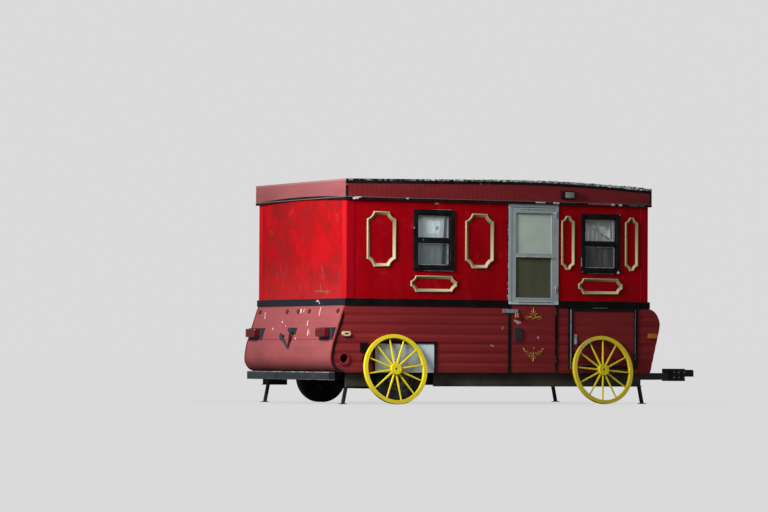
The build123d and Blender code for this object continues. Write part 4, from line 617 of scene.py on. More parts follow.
def chassis_paint():
    graph = Graph("chassis_paint", roughness=0.66, specular=0.14)
    rusty = graph.patches(6.0, 0.50, 0.68, detail=8.0, rough=0.7)
    graph.tone = (0.0075, 0.0075, 0.0080)
    graph.over(rusty, RUST, 0.7)
    dusty(graph, 0.50, 0.18)
    graph.rough(rusty, 0.55, 0.86)
    graph.grain(85.0, 0.0012, 0.7, detail=6.0, rough=0.7)
    return graph.painted()


def bumper_paint():
    graph = Graph("bumper_paint", roughness=0.52, specular=0.2)
    low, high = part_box("bumper")
    top = graph.ramp("Z", high.z - 0.012, high.z - 0.002)
    foot = graph.ramp("Z", low.z + 0.002, low.z + 0.010, 1.0, 0.0)
    edge = graph.calc(top, "MAXIMUM", graph.times(foot, 0.7))
    edge_patches = graph.patches(9.0, 0.34, 0.58, detail=6.0, rough=0.7)
    graph.tone = (0.0110, 0.0145, 0.0200)
    # Lighter grey along the top and foot edges, in patches
    graph.over(graph.times(edge, edge_patches), (0.21, 0.215, 0.200))
    graph.over(graph.patches(5.0, 0.45, 0.70, detail=6.0), (0.040, 0.046, 0.052), 0.45)
    graph.grain(70.0, 0.001, 0.6)
    return graph.painted()


def roof_paint():
    """The roof's old coating, with flakes towards the front and painted edges."""
    graph = Graph("roof_paint", roughness=0.80)
    patches = graph.patches(4.5, 0.44, 0.50, detail=9.0, rough=0.72)
    graph.tone = graph.mix(patches, (0.060, 0.055, 0.052), (0.22, 0.21, 0.195))
    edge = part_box("roof_skin")[0]
    flakes = graph.noise(24.0, detail=7.0, rough=0.75, offset=(5, 1, 2))
    bare = graph.calc(flakes, "GREATER_THAN", graph.ramp("X", REAR_X + 0.8, REAR_X + 2.6, 0.52, 0.40))
    kerb_edge = graph.ramp("Y", edge.y + 0.004, edge.y + 0.010, 1.0, 0.0)
    graph.over(kerb_edge, graph.mix(bare, BLACK, (0.17, 0.165, 0.155)))
    graph.over(graph.ramp("X", edge.x + 0.004, edge.x + 0.010, 1.0, 0.0), (0.20, 0.085, 0.085))
    graph.bump(flakes, 0.003, 0.8)
    return graph.painted()


def gold_paint():
    graph = Graph("gold_paint", specular=0.12)
    graph.tone = GOLD
    graph.over(graph.patches(11.0, 0.30, 0.72), (0.30, 0.250, 0.120), 0.40)
    # Painted shade on the slopes of the left and top members and in the recesses, painted highlight on the
    # bottom slopes
    for name, tint in (("shaded", GOLD_SHADED), ("lit", GOLD_LIT), ("recess_shade", GOLD_RECESS_SHADE)):
        graph.over(graph.attribute(name), tint)
    graph.grain(130.0, 0.0005, 0.5, detail=4.0)
    return graph.painted()


def wheel_yellow():
    graph = Graph("wheel_yellow", roughness=0.42, specular=0.12)
    brushed = graph.patches(15.0, 0.30, 0.72, rough=0.6)
    graph.tone = YELLOW
    graph.over(brushed, YELLOW_LIGHT, 0.45)
    # Painted shade: the front wheel's yellow is duller, as the light falls off towards the front
    graph.over(graph.ramp("X", REAR_X + 1.5, REAR_X + 2.0), graph.mix(brushed, YELLOW_SHADED_FRONT, YELLOW))
    scuff = graph.near(side_point(2.84, 0.66, 0.05), 0.06, 0.09)
    graph.over(graph.times(scuff, graph.between(brushed, 0.25, 0.65)), (0.19, 0.18, 0.12), 0.75)
    speckle = graph.patches(42.0, 0.60, 0.66, rough=0.7, offset=(3, 8, 2))
    graph.over(speckle, (0.27, 0.20, 0.055), 0.55)
    chip(graph, (0.22, 0.15, 0.07), 0.02, scale=30.0)
    dusty(graph, 0.20, 0.55, (0.20, 0.16, 0.06))
    graph.grain(55.0, 0.0010, 0.5)
    return graph.painted()


def skirt_paint():
    graph = Graph("skirt_paint", roughness=0.55, specular=0.14)
    stains = graph.patches(6.0, 0.42, 0.74, detail=7.0, rough=0.66, stretch=(1, 1, 0.7))
    graph.tone = GREY_PAINT
    graph.over(stains, GREY_STAIN, 0.55)
    low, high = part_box("wheel_skirts")
    # Painted light: lighter and bluer towards the front, offsetting the wheel's shadow on the skirt
    graph.over(graph.ramp("X", low.x + 0.50, high.x - 0.08), GREY_PAINTED_LIGHT)
    dusty(graph, 0.50, 0.30)
    graph.grain(50.0, 0.0010, 0.5, detail=4.0)
    return graph.painted()


def storm_metal():
    graph = Graph("storm_metal", roughness=0.48, specular=0.25)
    graph.tone = STORM
    graph.over(graph.patches(5.0, 0.36, 0.70, detail=6.0, rough=0.65), (0.175, 0.205, 0.218), 0.55)
    graph.over(graph.ramp("Z", 1.085, 1.100, 1.0, 0.0), (0.44, 0.48, 0.46))
    graph.grain(60.0, 0.0004, 0.5, detail=4.0, stretch=(1, 1, 0.05))
    return graph.painted()


def glass(name, tint, alpha):
    graph = Graph(name, roughness=0.08, specular=0.35)
    graph.tone = tint
    graph.shader.inputs["Alpha"].default_value = alpha
    graph.grain(3.0, 0.0006, 0.3, detail=2.0)
    return graph.painted()


def insect_screen():
    graph = Graph("insect_screen", roughness=0.55)
    wires = graph.calc(graph.waves("X", 130.0), "MAXIMUM", graph.waves("Z", 130.0))
    clouds = graph.patches(3.0, 0.32, 0.70, stretch=(2, 1, 0.5))
    gauze = graph.mix(clouds, (0.062, 0.064, 0.038), (0.095, 0.097, 0.062))
    graph.tone = graph.mix(wires, dimmed((0.075, 0.077, 0.046), 0.6), gauze)
    graph.bump(wires, 0.0006, 0.6)
    return graph.painted()


# Glow painted into the nets, standing in for daylight from the far side's windows coming through them
NET_BACKLIGHT = {"net_white": 0.17, "net_lace": 0.09}


def net_cloth(name, colour, shade, dark, fringe, bright=()):
    """Net curtain. bright and dark are rows of marks of painted light and painted shade on its folds, fringe
    the valance's height and its depth.
    """
    graph = Graph(name, roughness=0.88, specular=0.05)
    graph.tone = colour
    graph.over(graph.patches(7.0, 0.34, 0.70), shade, 0.5)
    # Painted light on the folds
    mark(graph, (0.82, 0.96, 1.00), bright, soft=0.012, strength=0.90)
    foot, depth = fringe
    wave = graph.patches(13.0, 0.30, 0.70, -depth * 0.7, depth * 0.7, detail=3.0, stretch=(1, 1, 0.15))
    lift = graph.calc(graph.axis("Z"), "ADD", wave)
    graph.over(graph.between(lift, foot - depth, foot + depth * 0.4, 0.0, 0.85), (0.10, 0.092, 0.075))
    if name == "net_lace":
        threads = graph.patches(48.0, 0.40, 0.60, 0.0, 0.40, detail=3.0, stretch=(1, 1, 0.06))
        graph.over(threads, (0.16, 0.155, 0.145))
        mark(graph, (0.24, 0.175, 0.095), LACE_BROWN, soft=0.014, strength=0.75)
        # Painted light on the lace's folds
        mark(graph, (0.90, 0.93, 0.95), LACE_PAINTED_LIGHT, strength=0.80)
        # Painted shadow on the lace behind the lower pane, lighter on its folds
        folds = graph.patches(16.0, 0.50, 0.66, detail=3.0, stretch=(1, 1, 0.10), offset=(3, 0, 1))
        shadow = graph.mix(folds, (0.045, 0.040, 0.032), (0.360, 0.325, 0.265))
        graph.over(graph.ramp("Z", 1.70, 1.74, 0.86, 0.0), shadow)
    # Painted shade in the creases
    mark(graph, (0.045, 0.042, 0.042), dark, soft=0.007, strength=0.8)
    # Painted glow for the daylight behind the nets
    graph.put(graph.shader.inputs["Emission Color"], graph.tone)
    graph.shader.inputs["Emission Strength"].default_value = NET_BACKLIGHT[name]
    graph.shader.inputs["Sheen Weight"].default_value = 0.15
    graph.bump(graph.patches(260.0, 0.35, 0.65, detail=3.0), 0.0005, 0.6)
    return graph.painted()


def plywood(name, light, dark):
    graph = Graph(name, roughness=0.7)
    grain = graph.patches(9.0, 0.34, 0.68, detail=7.0, rough=0.65, stretch=(0.12, 1, 1), bend=0.6)
    graph.tone = graph.mix(grain, light, dark)
    graph.bump(grain, 0.0012, 0.5)
    return graph.painted()


def two_tone(name, first, second, patches, grain, strength=None, uneven=False, **settings):
    """A simple look, one tint in patches over another.

    patches is a noise's scale, its two levels, detail and roughness. grain is the scale and detail of the
    bump's noise, then the bump's distance and strength.
    """
    graph = Graph(name, **settings)
    scale, low, high, detail, rough = patches
    share = graph.patches(scale, low, high, detail=detail, rough=rough)
    graph.tone = first
    graph.over(share, second, strength)
    if uneven:
        graph.rough(share, settings["roughness"] - 0.08, settings["roughness"] + 0.22)
    scale, detail, distance, height = grain
    graph.grain(scale, distance, height, detail=detail)
    return graph.painted()


def metal(name, colour, worn, roughness, metallic):
    patches, grain = (20.0, 0.40, 0.64, 6.0, 0.68), (80.0, 5.0, 0.0006, 0.6)
    look = {"roughness": roughness, "metallic": metallic, "specular": 0.3}
    return two_tone(name, colour, worn, patches, grain, uneven=True, **look)


def lens(name, colour, deep, roughness=0.18):
    patches, grain = (24.0, 0.34, 0.70, 5.0, 0.55), (80.0, 3.0, 0.0004, 0.5)
    return two_tone(name, colour, deep, patches, grain, roughness=roughness, specular=0.25, coat=0.12)


def flaked(name, light, dark, low=0.44, high=0.58):
    """Curled flakes of old coating, light with dark patches."""
    patches, grain = (30.0, low, high, 7.0, 0.75), (70.0, 5.0, 0.002, 0.7)
    return two_tone(name, light, dark, patches, grain, roughness=0.85)


def porch_lens():
    """The porch lamp: a milky window in a black housing."""
    graph = Graph("milky_plastic", roughness=0.4, specular=0.2)
    low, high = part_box("porch_lamp")
    wide = graph.span("X", low.x + 0.022, high.x - 0.026, 0.004)
    clear = graph.times(wide, graph.span("Z", low.z + 0.009, high.z - 0.012, 0.004))
    clouds = graph.patches(24.0, 0.34, 0.70)
    milk = graph.mix(clouds, (0.26, 0.255, 0.215), (0.180, 0.175, 0.145))
    shade = graph.ramp("X", low.x + 0.060, high.x - 0.026, 0.0, 0.75)
    milk = graph.mix(shade, milk, (0.075, 0.068, 0.055))
    graph.tone = graph.mix(clear, BLACK, milk)
    return graph.painted()


# Marks on the curtains, in side coordinates: painted light and painted shade on their folds, and brown on the
# lace
NET_PAINTED_LIGHT = (((1.012, 1.838), (1.012, 1.892), 0.076), ((1.078, 1.834), (1.084, 1.896), 0.070))
NET_PAINTED_SHADE = (((1.092, 1.850), (1.098, 1.862), 0.026),)
LACE_PAINTED_LIGHT = (
    ((3.110, 1.858), (3.200, 1.822), 0.046),
    ((3.198, 1.866), (3.206, 1.806), 0.030),
    ((3.006, 1.917), (3.098, 1.842), 0.012),
    ((3.095, 1.902), (3.130, 1.898), 0.012),
    ((2.906, 1.845), (2.906, 1.760), 0.016),
    ((2.945, 1.860), (2.943, 1.760), 0.012),
    ((3.000, 1.862), (2.998, 1.760), 0.016),
    ((3.048, 1.835), (3.048, 1.760), 0.010),
    ((3.250, 1.980), (3.250, 1.760), 0.012),
)
LACE_PAINTED_SHADE = (
    ((3.038, 1.888), (3.120, 1.826), 0.013),
    ((3.120, 1.826), (3.200, 1.782), 0.016),
    ((3.120, 1.862), (3.152, 1.846), 0.007),
    ((3.231, 1.975), (3.231, 1.790), 0.012),
)
LACE_BROWN = (
    ((2.935, 1.968), (2.965, 1.945), 0.026),
    ((2.985, 1.970), (3.010, 1.962), 0.020),
    ((3.060, 1.960), (3.190, 1.925), 0.030),
    ((3.180, 1.935), (3.195, 1.900), 0.016),
)

MATERIALS = {
    "wall_red": wall_red(),
    "rear_wall_red": rear_wall_red(),
    "corner_red": edge_red("corner_red", CORNER_RED, (0.255, 0.0012, 0.0080)),
    "rear_edge_red": edge_red("rear_edge_red", REAR_BRIGHT, REAR_EDGE),
    "siding": siding("siding", MAROON, MAROON_DEEP),
    "front_sheet": siding("front_sheet", MAROON, MAROON_DEEP),
    "rear_sheet": rear_sheet(),
    "painted_shadow_maroon": siding("painted_shadow_maroon", MAROON_PAINTED_SHADOW, MAROON_PAINTED_SHADOW),
    "band": band_paint(),
    "black_trim": black_paint("black_trim"),
    "belt_black": black_paint("belt_black", base=(0.0018, 0.0018, 0.0020), rubbed=(0.010, 0.010, 0.011)),
    "roof_trim": black_paint("roof_trim", worn=0.045, dust=0.0, under=(0.36, 0.27, 0.26)),
    "window_black": black_paint("window_black", worn=0.006, dust=0.0, roughness=0.38),
    "chassis": chassis_paint(),
    "bumper": bumper_paint(),
    "slate": black_paint("slate_paint", base=(0.0170, 0.0220, 0.0290), rubbed=(0.050, 0.056, 0.062)),
    "sill": black_paint("sill_paint", base=(0.0290, 0.0280, 0.0230), rubbed=(0.070, 0.064, 0.050), dust=0.35),
    "roof": roof_paint(),
    "gold": gold_paint(),
    "ornament": two_tone(
        "ornament_gold", (0.46, 0.27, 0.045), (0.19, 0.070, 0.022),
        (34.0, 0.42, 0.62, 6.0, 0.7), (160.0, 4.0, 0.0006, 0.6),
    ),
    "yellow": wheel_yellow(),
    "skirt": skirt_paint(),
    "storm": storm_metal(),
    "sash": two_tone(
        "sash_paint", BLACK, BLACK_WORN,
        (16.0, 0.46, 0.60, 6.0, 0.7), (60.0, 4.0, 0.0006, 0.5), strength=0.4, specular=0.16,
    ),
    "glass": glass("window_glass_clear", (0.24, 0.27, 0.27), 0.20),
    "frosted": two_tone(
        "frosted_pane", (0.315, 0.372, 0.318), (0.385, 0.450, 0.395),
        (5.0, 0.30, 0.74, 5.0, 0.55), (300.0, 2.0, 0.0003, 0.4), roughness=0.32, specular=0.25,
    ),
    "screen": insect_screen(),
    "net": net_cloth(
        "net_white", (0.58, 0.69, 0.72), (0.44, 0.53, 0.55), NET_PAINTED_SHADE, (1.962, 0.030), bright=NET_PAINTED_LIGHT
    ),
    "lace": net_cloth("net_lace", (0.58, 0.585, 0.575), (0.36, 0.35, 0.33), LACE_PAINTED_SHADE, (1.945, 0.040)),
    "dark_screen": glass("window_screen", (0.034, 0.037, 0.038), 0.30),
    "bead": metal("worn_bead", BEAD, (0.10, 0.11, 0.115), 0.5, 0.2),
    "steel": metal("wheel_steel", STEEL, (0.09, 0.08, 0.07), 0.50, 0.4),
    "zinc": metal("zinc", ZINC, (0.15, 0.16, 0.17), 0.45, 0.3),
    "dark_steel": metal("dark_steel", (0.012, 0.012, 0.013), (0.035, 0.028, 0.022), 0.55, 0.2),
    "bright": metal("bright_strip", (0.30, 0.32, 0.33), (0.16, 0.17, 0.18), 0.45, 0.3),
    "bare": metal("bare_edge", (0.46, 0.50, 0.48), (0.30, 0.33, 0.32), 0.5, 0.1),
    "brass": metal("brass", (0.40, 0.27, 0.11), (0.22, 0.15, 0.08), 0.42, 0.3),
    # Near black plywood: painted shade for the cabin's inside
    "interior_shade": plywood("interior_panel_shade", (0.050, 0.033, 0.020), (0.030, 0.019, 0.012)),
    "rubber": two_tone(
        "tyre_rubber", RUBBER, (0.075, 0.066, 0.056),
        (12.0, 0.42, 0.74, 6.0, 0.55), (150.0, 4.0, 0.0006, 0.6), strength=0.5, roughness=0.76, specular=0.2,
    ),
    "plywood": plywood("plywood", (0.30, 0.185, 0.090), (0.20, 0.115, 0.052)),
    "lens_red": lens("lens_red", (0.080, 0.0010, 0.0045), (0.050, 0.0008, 0.0030)),
    "lens_maroon": lens("lens_maroon", (0.085, 0.008, 0.012), (0.050, 0.005, 0.008), 0.4),
    "lens_amber": lens("lens_amber", (0.46, 0.145, 0.008), (0.33, 0.075, 0.006)),
    "cream": lens("cream_plastic", (0.56, 0.47, 0.29), (0.36, 0.27, 0.14), 0.4),
    "milky": porch_lens(),
    "bird_white": flaked("bird_white", BIRD_WHITE, (0.30, 0.29, 0.27)),
    "flakes": flaked("roof_flakes", (0.56, 0.56, 0.54), (0.016, 0.016, 0.016), 0.46, 0.56),
    "jamb_flakes": flaked("jamb_flakes", (0.40, 0.40, 0.38), (0.012, 0.011, 0.010), 0.34, 0.46),
}

NODE_MATERIALS = {
    "chassis": (
        "main_rails", "tongue_beams", "cross_members", "tongue_head", "coupler",
        "axle_beam", "leaf_springs", "spring_hangers", "leg_brackets", "wheel_boxes",
        "hub_kerb", "hub_far", "leg_rear_kerb", "leg_front_kerb", "leg_rear_far", "leg_front_far",
    ),
    "bumper": ("bumper",),
    "slate": ("rear_brackets",),
    "sill": ("side_sills",),
    "plywood": ("floor_deck",),
    "siding": ("lower_sides", "hatch_panel", "door_lower"),
    "rear_sheet": ("lower_ends",),
    "skirt": ("wheel_skirts",),
    "black_trim": ("side_trims", "side_fittings"),
    "belt_black": ("belt",),
    "roof_trim": ("roof_trims",),
    "wall_red": ("upper_sides",),
    "rear_wall_red": ("upper_ends",),
    "corner_red": ("corner_boards",),
    "band": ("roof_band",),
    "roof": ("roof_skin",),
    "window_black": ("window_frames",),
    "sash": ("window_sashes",),
    "glass": ("window_glass",),
    "storm": ("door_frame", "door_upper"),
    "frosted": ("door_glass",),
    "screen": ("door_screen",),
    "zinc": ("door_hinges", "door_hardware"),
    "rubber": ("tyre_kerb", "tyre_far"),
    "steel": ("rim_kerb", "rim_far"),
    "yellow": ("wagon_rims", "wagon_hubs", "wagon_spokes"),
    "lens_red": ("tail_lamps",),
    "lens_maroon": ("marker_lamps",),
    "cream": ("side_markers",),
    "milky": ("porch_lamp",),
    "gold": ("mouldings",),
    "net": ("curtains",),
}
for look, names in NODE_MATERIALS.items():
    for name in names:
        mesh = nodes[name].data
        mesh.materials.clear()
        mesh.materials.append(MATERIALS[look])


def paint_where(node, look, chosen):
    """Gives another material to the faces of a node whose middle and normal pass a test."""
    mesh = nodes[node].data
    mesh.materials.append(MATERIALS[look])
    place = len(mesh.materials) - 1
    for polygon in mesh.polygons:
        if chosen(polygon.center, polygon.normal):
            polygon.material_index = place


def in_window(centre, normal):
    """The cut edges of the wall round a window."""
    if abs(normal.y) > 0.5:
        return False
    for low, high in solids("window_frames"):
        if low.x < centre.x < high.x and low.z < centre.z < high.z:
            return True
    return False


def in_door(centre, normal):
    low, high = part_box("door_frame")
    return abs(normal.y) < 0.5 and low.x - 0.01 < centre.x < high.x + 0.01 and centre.z < WALL_TOP - 0.001


def second_finishes():
    """Solids of one node that are painted apart."""
    arm_foot = MID_Y - 0.006
    arm_top = 0.725
    vent_front = REAR_X + 0.30
    lock_top = 0.84
    hasp_foot = 0.968
    paint_where("lower_ends", "front_sheet", lambda centre, normal: centre.x > MIDDLE_X)
    paint_where("upper_ends", "wall_red", lambda centre, normal: centre.x > MIDDLE_X)
    paint_where("corner_boards", "rear_edge_red", lambda centre, normal: normal.x < -0.5)
    # Inner faces of the walls take painted shade, so the cabin reads dark through the gaps
    paint_where("upper_sides", "interior_shade", lambda centre, normal: normal.y * (centre.y - MID_Y) < -0.1)
    paint_where("upper_ends", "interior_shade", lambda centre, normal: normal.x * (centre.x - MIDDLE_X) < -0.1)
    for look, chosen in (("window_black", in_window), ("storm", in_door)):
        paint_where("upper_sides", look, chosen)
    paint_where("side_markers", "lens_amber", lambda centre, normal: centre.x > MIDDLE_X)
    paint_where("side_fittings", "siding", lambda centre, normal: centre.x < REAR_X + 0.06)
    paint_where("side_fittings", "bright", lambda centre, normal: centre.x > vent_front)
    paint_where("door_hardware", "dark_steel", lambda centre, normal: centre.z < lock_top)
    paint_where("door_hardware", "brass", lambda centre, normal: lock_top < centre.z < hasp_foot)
    paint_where("door_hinges", "dark_steel", lambda centre, normal: centre.z < BELT_TOP)
    paint_where("door_lower", "dark_steel", lambda centre, normal: centre.y < KERB_Y - 0.002)
    # The plate lamp's second limb, painted dark maroon as the shadow under the lamp's hood
    paint_where(
        "rear_brackets",
        "painted_shadow_maroon",
        lambda centre, normal: MID_Y - 0.08 < centre.y < arm_foot and 0.58 < centre.z < arm_top,
    )


second_finishes()

SOFTENED = {
    0.0015: (
        "window_frames", "window_sashes", "belt", "side_trims", "roof_trims", "door_frame", "door_upper",
    ),
    0.0025: ("bumper", "wagon_rims", "wagon_spokes", "wagon_hubs", "tail_lamps", "tongue_head", "coupler"),
}
for width, names in SOFTENED.items():
    for name in names:
        soften(nodes[name], width)


# Picture mouldings: a swept frame with a raised outer flat and a long slope towards its middle.
# Each profile point is a share of the band's width, a share of its rise, and how much painted shade it takes,
# most where it meets the wall
MOULDING_PROFILE = (
    (0.00, 0.00, 0.7),
    (0.00, 0.60, 0.4),
    (0.05, 0.88, 0.0),
    (0.12, 1.00, 0.0),
    (0.30, 1.00, 0.0),
    (0.36, 0.92, 0.1),
    (0.44, 0.80, 0.2),
    (0.62, 0.62, 0.2),
    (0.80, 0.42, 0.2),
    (0.94, 0.26, 0.3),
    (1.00, 0.14, 0.6),
    (1.00, 0.00, 1.0),
)
SLOPE_START = 0.36
ARC_STEPS = 10
COVE_CENTRE_OUT = 0.35


def cove_loop(width, height, cove, inset):
    """The outline of a hollow-cornered frame, set in by inset, as points round its middle."""
    out = cove * COVE_CENTRE_OUT
    radius = math.hypot(cove + out, out) + inset
    start = math.asin((out + inset) / radius)
    points = []
    for sign_x, sign_z, forward in ((1, 1, True), (-1, 1, False), (-1, -1, True), (1, -1, False)):
        centre = (sign_x * (width / 2 + out), sign_z * (height / 2 + out))
        angles = [start + (math.pi / 2 - 2 * start) * step / ARC_STEPS for step in range(ARC_STEPS + 1)]
        for angle in angles if forward else reversed(angles):
            x = centre[0] - sign_x * radius * math.sin(angle)
            z = centre[1] - sign_z * radius * math.cos(angle)
            points.append((x, z))
    return points


def moulding_sizes(low, high):
    """A frame's corner hollow and band width, read from its solid's corners."""
    middle = (low + high) / 2
    cove = high.x - low.x
    for vertex in nodes["mouldings"].data.vertices:
        point = vertex.co
        if low.x < point.x < high.x and low.y - 0.001 < point.y < high.y + 0.001:
            if abs(point.z - high.z) < 0.0005:
                cove = min(cove, point.x - low.x)
    band = high.x - low.x
    straight = (high.z - low.z) / 2 - cove - 0.001
    for vertex in nodes["mouldings"].data.vertices:
        point = vertex.co
        if low.x < point.x < high.x and low.y - 0.001 < point.y < high.y + 0.001:
            if abs(point.z - middle.z) < straight:
                band = min(band, point.x - low.x)
    return cove, band


def mouldings():
    frames = Shape()
    recess_shade = []
    shaded = []
    lit = []
    for low, high in solids("mouldings"):
        side = facing(low, high)[0]
        cove, band = moulding_sizes(low, high)
        middle = (low + high) / 2
        profile = MOULDING_PROFILE if side == KERB else tuple(reversed(MOULDING_PROFILE))
        rings = []
        for share, rise, depth in profile:
            loop = cove_loop(high.x - low.x, high.z - low.z, cove, share * band)
            proud = rise * (high.y - low.y)
            rings.append([side_point(middle.x - REAR_X + x, middle.z + z, proud, side) for x, z in loop])
            # Painted shade where the moulding meets the wall, from the profile
            recess_shade.extend([depth] * len(loop))
            half_width, half_height = (high.x - low.x) / 2, (high.z - low.z) / 2
            for x, z in loop:
                # Painted shade on the inner slopes of the left and top members, painted highlight on those of
                # the bottom ones
                left = max(0.0, -x / half_width) if abs(x) > half_width - cove - band else 0.0
                above = max(0.0, z / half_height) if abs(z) > half_height - cove - band else 0.0
                tone = min(1.0, 0.80 * left + 0.80 * above) if share >= SLOPE_START else 0.0
                shaded.append(tone)
                below = max(0.0, -z / half_height) if abs(z) > half_height - cove - band else 0.0
                right = max(0.0, x / half_width) if abs(x) > half_width - cove - band else 0.0
                lit.append(below * (0.55 + 0.35 * right) if share >= SLOPE_START else 0.0)
        frames.loft(rings, capped=False)
    piece = frames.piece("picture_mouldings", "gold", "gold_trim", angle=50)
    for name, values in (("recess_shade", recess_shade), ("shaded", shaded), ("lit", lit)):
        layer = piece.data.attributes.new(name, "FLOAT", "POINT")
        layer.data.foreach_set("value", values)
    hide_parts("mouldings")


mouldings()

# Curtains: pleated net behind each window
PLEAT_COLUMNS = 96
CURTAIN_ROWS = 28
PLEAT_DEPTH = 0.0022
# The rear kerb window's net hangs in two panels, with a slanting gap between them
GAP_START = (0.858, 0.768)
GAP_END = (0.935, 0.892)


def curtain(name, low, high, pleats, look, seed, edges):
    """A gathered net curtain between two edges, each a share of the width at its top and foot."""
    inner_y = 0.5 * (low.y + high.y)
    width, height = high.x - low.x, high.z - low.z
    (left_top, left_foot), (right_top, right_foot) = edges
    columns = max(int(PLEAT_COLUMNS * (right_top - left_top)), 6)
    cloth = Shape()
    verts = []
    for row in range(CURTAIN_ROWS + 1):
        drop = row / CURTAIN_ROWS
        left = left_top + (left_foot - left_top) * drop
        right = right_top + (right_foot - right_top) * drop
        for column in range(columns + 1):
            share = left + (right - left) * column / columns
            sway = noise.noise(Vector((share * 3.1 + seed, drop * 1.7, seed)))
            phase = share * pleats * 2 * math.pi + sway * 2.4
            fold = PLEAT_DEPTH * (0.35 + 0.65 * drop) * math.sin(phase)
            verts.append((low.x + width * share, inner_y + fold, high.z - height * drop))
    stride = columns + 1
    corners = [row * stride + column for row in range(CURTAIN_ROWS) for column in range(columns)]
    cloth.add(verts, [(corner, corner + 1, corner + stride + 1, corner + stride) for corner in corners])
    piece = cloth.piece(name, look, "curtain_fabric", angle=180)
    return piece


def curtains():
    made = []
    for place, (low, high) in enumerate(solids("curtains")):
        rear = low.x < MIDDLE_X
        whole = ((0.0, 0.0), (1.0, 1.0))
        parted = rear and low.y < MID_Y
        panels = ((whole[0], GAP_START), (GAP_END, whole[1])) if parted else (whole,)
        for number, edges in enumerate(panels):
            name = f"curtain_{place}_{number}"
            look = "net" if rear else "lace"
            made.append(curtain(name, low, high, 5 + place, look, 3.7 * place + 1, edges))
    for piece in made:
        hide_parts("curtains")


curtains()


# Insect screens in front of the lower sashes
SCREEN_OFFSET = 0.006
SCREEN_THICKNESS = 0.001
# Panes that start above this height are the upper ones
UPPER_PANE_FROM = 1.72


def window_screens():
    screens = Shape()
    for low, high in solids("window_glass"):
        if low.z > UPPER_PANE_FROM:
            continue
        side, face = facing(low, high)
        outer = SCREEN_OFFSET + SCREEN_THICKNESS
        near, far = sorted((face + side * SCREEN_OFFSET, face + side * outer))
        screens.box((low.x, near, low.z), (high.x, far, high.z))
    screens.piece("window_screens", "dark_screen", "clear_glass")


window_screens()

# Scroll ornaments on the lower door, drawn about its middle and a base height. Rows of five numbers are
# leaves: x and height of the start, x and height of the end, width. Rows of six are scrolls: x and height
# of the middle, sweep, outer and inner radius, thickness. Pairs are drawn on both sides of the middle
ORNAMENT_MIDDLE = 2.243
SCROLL_PROUD = 0.0015
SCROLL_STEPS = 18
LEAF_STEPS = 8
TOP_BASE = 0.905
TOP_FIRST = ((0, 0.045, 0, 0.128, 0.0065),)
TOP_PAIRS = (
    (0.004, 0.050, 0.030, 0.128 * 0.72, 0.0050),
    (0.006, 0.036, 0.052, 0.128 * 0.50, 0.0050),
    (0.010, 0.020, 0.080, 0.030, 0.0055),
    (0.036, 0.016, -4.6, 0.019, 0.004, 0.0045),
    (0.088, 0.014, -5.0, 0.021, 0.004, 0.0048),
    (0.055, 0.002, 0.108, 0.004, 0.0040),
)
TOP_LAST = ((-0.020, 0.006, 0.020, 0.006, 0.0060),)
LOW_BASE = 0.575
LOW_FIRST = ((0, -0.070, 0, -0.128, 0.0065), (0, -0.012, 0, -0.070, 0.0075))
LOW_PAIRS = (
    (0.006, -0.060, 0.034, -0.128 * 0.72, 0.0045),
    (0.012, -0.052, 0.066, -0.128 * 0.55, 0.0050),
    (0.030, -0.042, 0.092, -0.046, 0.0050),
    (0.060, -0.030, 0.120, -0.012, 0.0050),
    (0.096, -0.016, 0.132, 0.030, 0.0046),
    (0.034, -0.026, -4.8, 0.019, 0.004, 0.0045),
    (0.076, -0.008, -4.8, 0.018, 0.004, 0.0042),
    (0.112, 0.016, -4.6, 0.014, 0.003, 0.0038),
)


def scroll(centre, start_angle, sweep, outer, inner, thickness):
    """A spiral on the door's face and the radii of its tube."""
    path = []
    radii = []
    for step in range(SCROLL_STEPS + 1):
        share = step / SCROLL_STEPS
        angle = start_angle + sweep * share
        radius = outer + (inner - outer) * share
        path.append((centre[0] + radius * math.cos(angle), centre[1] + radius * math.sin(angle)))
        radii.append(thickness * (1 - 0.55 * share))
    return path, radii


def leaf(start, end, width):
    """A slim leaf between two points: a tube that swells in its middle."""
    path = []
    radii = []
    for step in range(LEAF_STEPS + 1):
        share = step / LEAF_STEPS
        path.append((start[0] + (end[0] - start[0]) * share, start[1] + (end[1] - start[1]) * share))
        radii.append(width * (0.12 + 0.88 * math.sin(math.pi * share) ** 0.8))
    return path, radii


def ornament(name, base, first, pairs, last, inward):
    """Leaves and scrolls in one piece. Scrolls start towards the middle if inward, else away from it."""
    rows = [(1, row) for row in first]
    rows += [(side, row) for side in (-1, 1) for row in pairs]
    rows += [(1, row) for row in last]
    scrolls = Shape()
    for side, row in rows:
        if len(row) == 5:
            start_x, start_z, end_x, end_z, width = row
            path, radii = leaf((side * start_x, base + start_z), (side * end_x, base + end_z), width)
        else:
            x, z, sweep, outer, inner, thickness = row
            turn = math.pi if (side > 0) == inward else 0.0
            path, radii = scroll((side * x, base + z), turn, side * sweep, outer, inner, thickness)
        scrolls.tube([side_point(ORNAMENT_MIDDLE + x, z, SCROLL_PROUD) for x, z in path], radii, 6)
    scrolls.piece(name, "ornament", "gold_trim", body="lower_door")


ornament("door_ornament_top", TOP_BASE, TOP_FIRST, TOP_PAIRS, TOP_LAST, True)
ornament("door_ornament_low", LOW_BASE, LOW_FIRST, LOW_PAIRS, (), False)

# Small fittings: beads, screws, bezels, bolts
BEAD_SET = -0.0128
BEAD_PROUD = 0.0030
SCREW_RADIUS = 0.0040
SCREW_RISE = 0.0018
FRAME_PROUD = 0.015
FRAME_SCREW_INSET = 0.023
FRAME_SCREW_SETS = (0.06, 0.37, 0.63, 0.94)
TRIM_SCREW_RADIUS = 0.0032
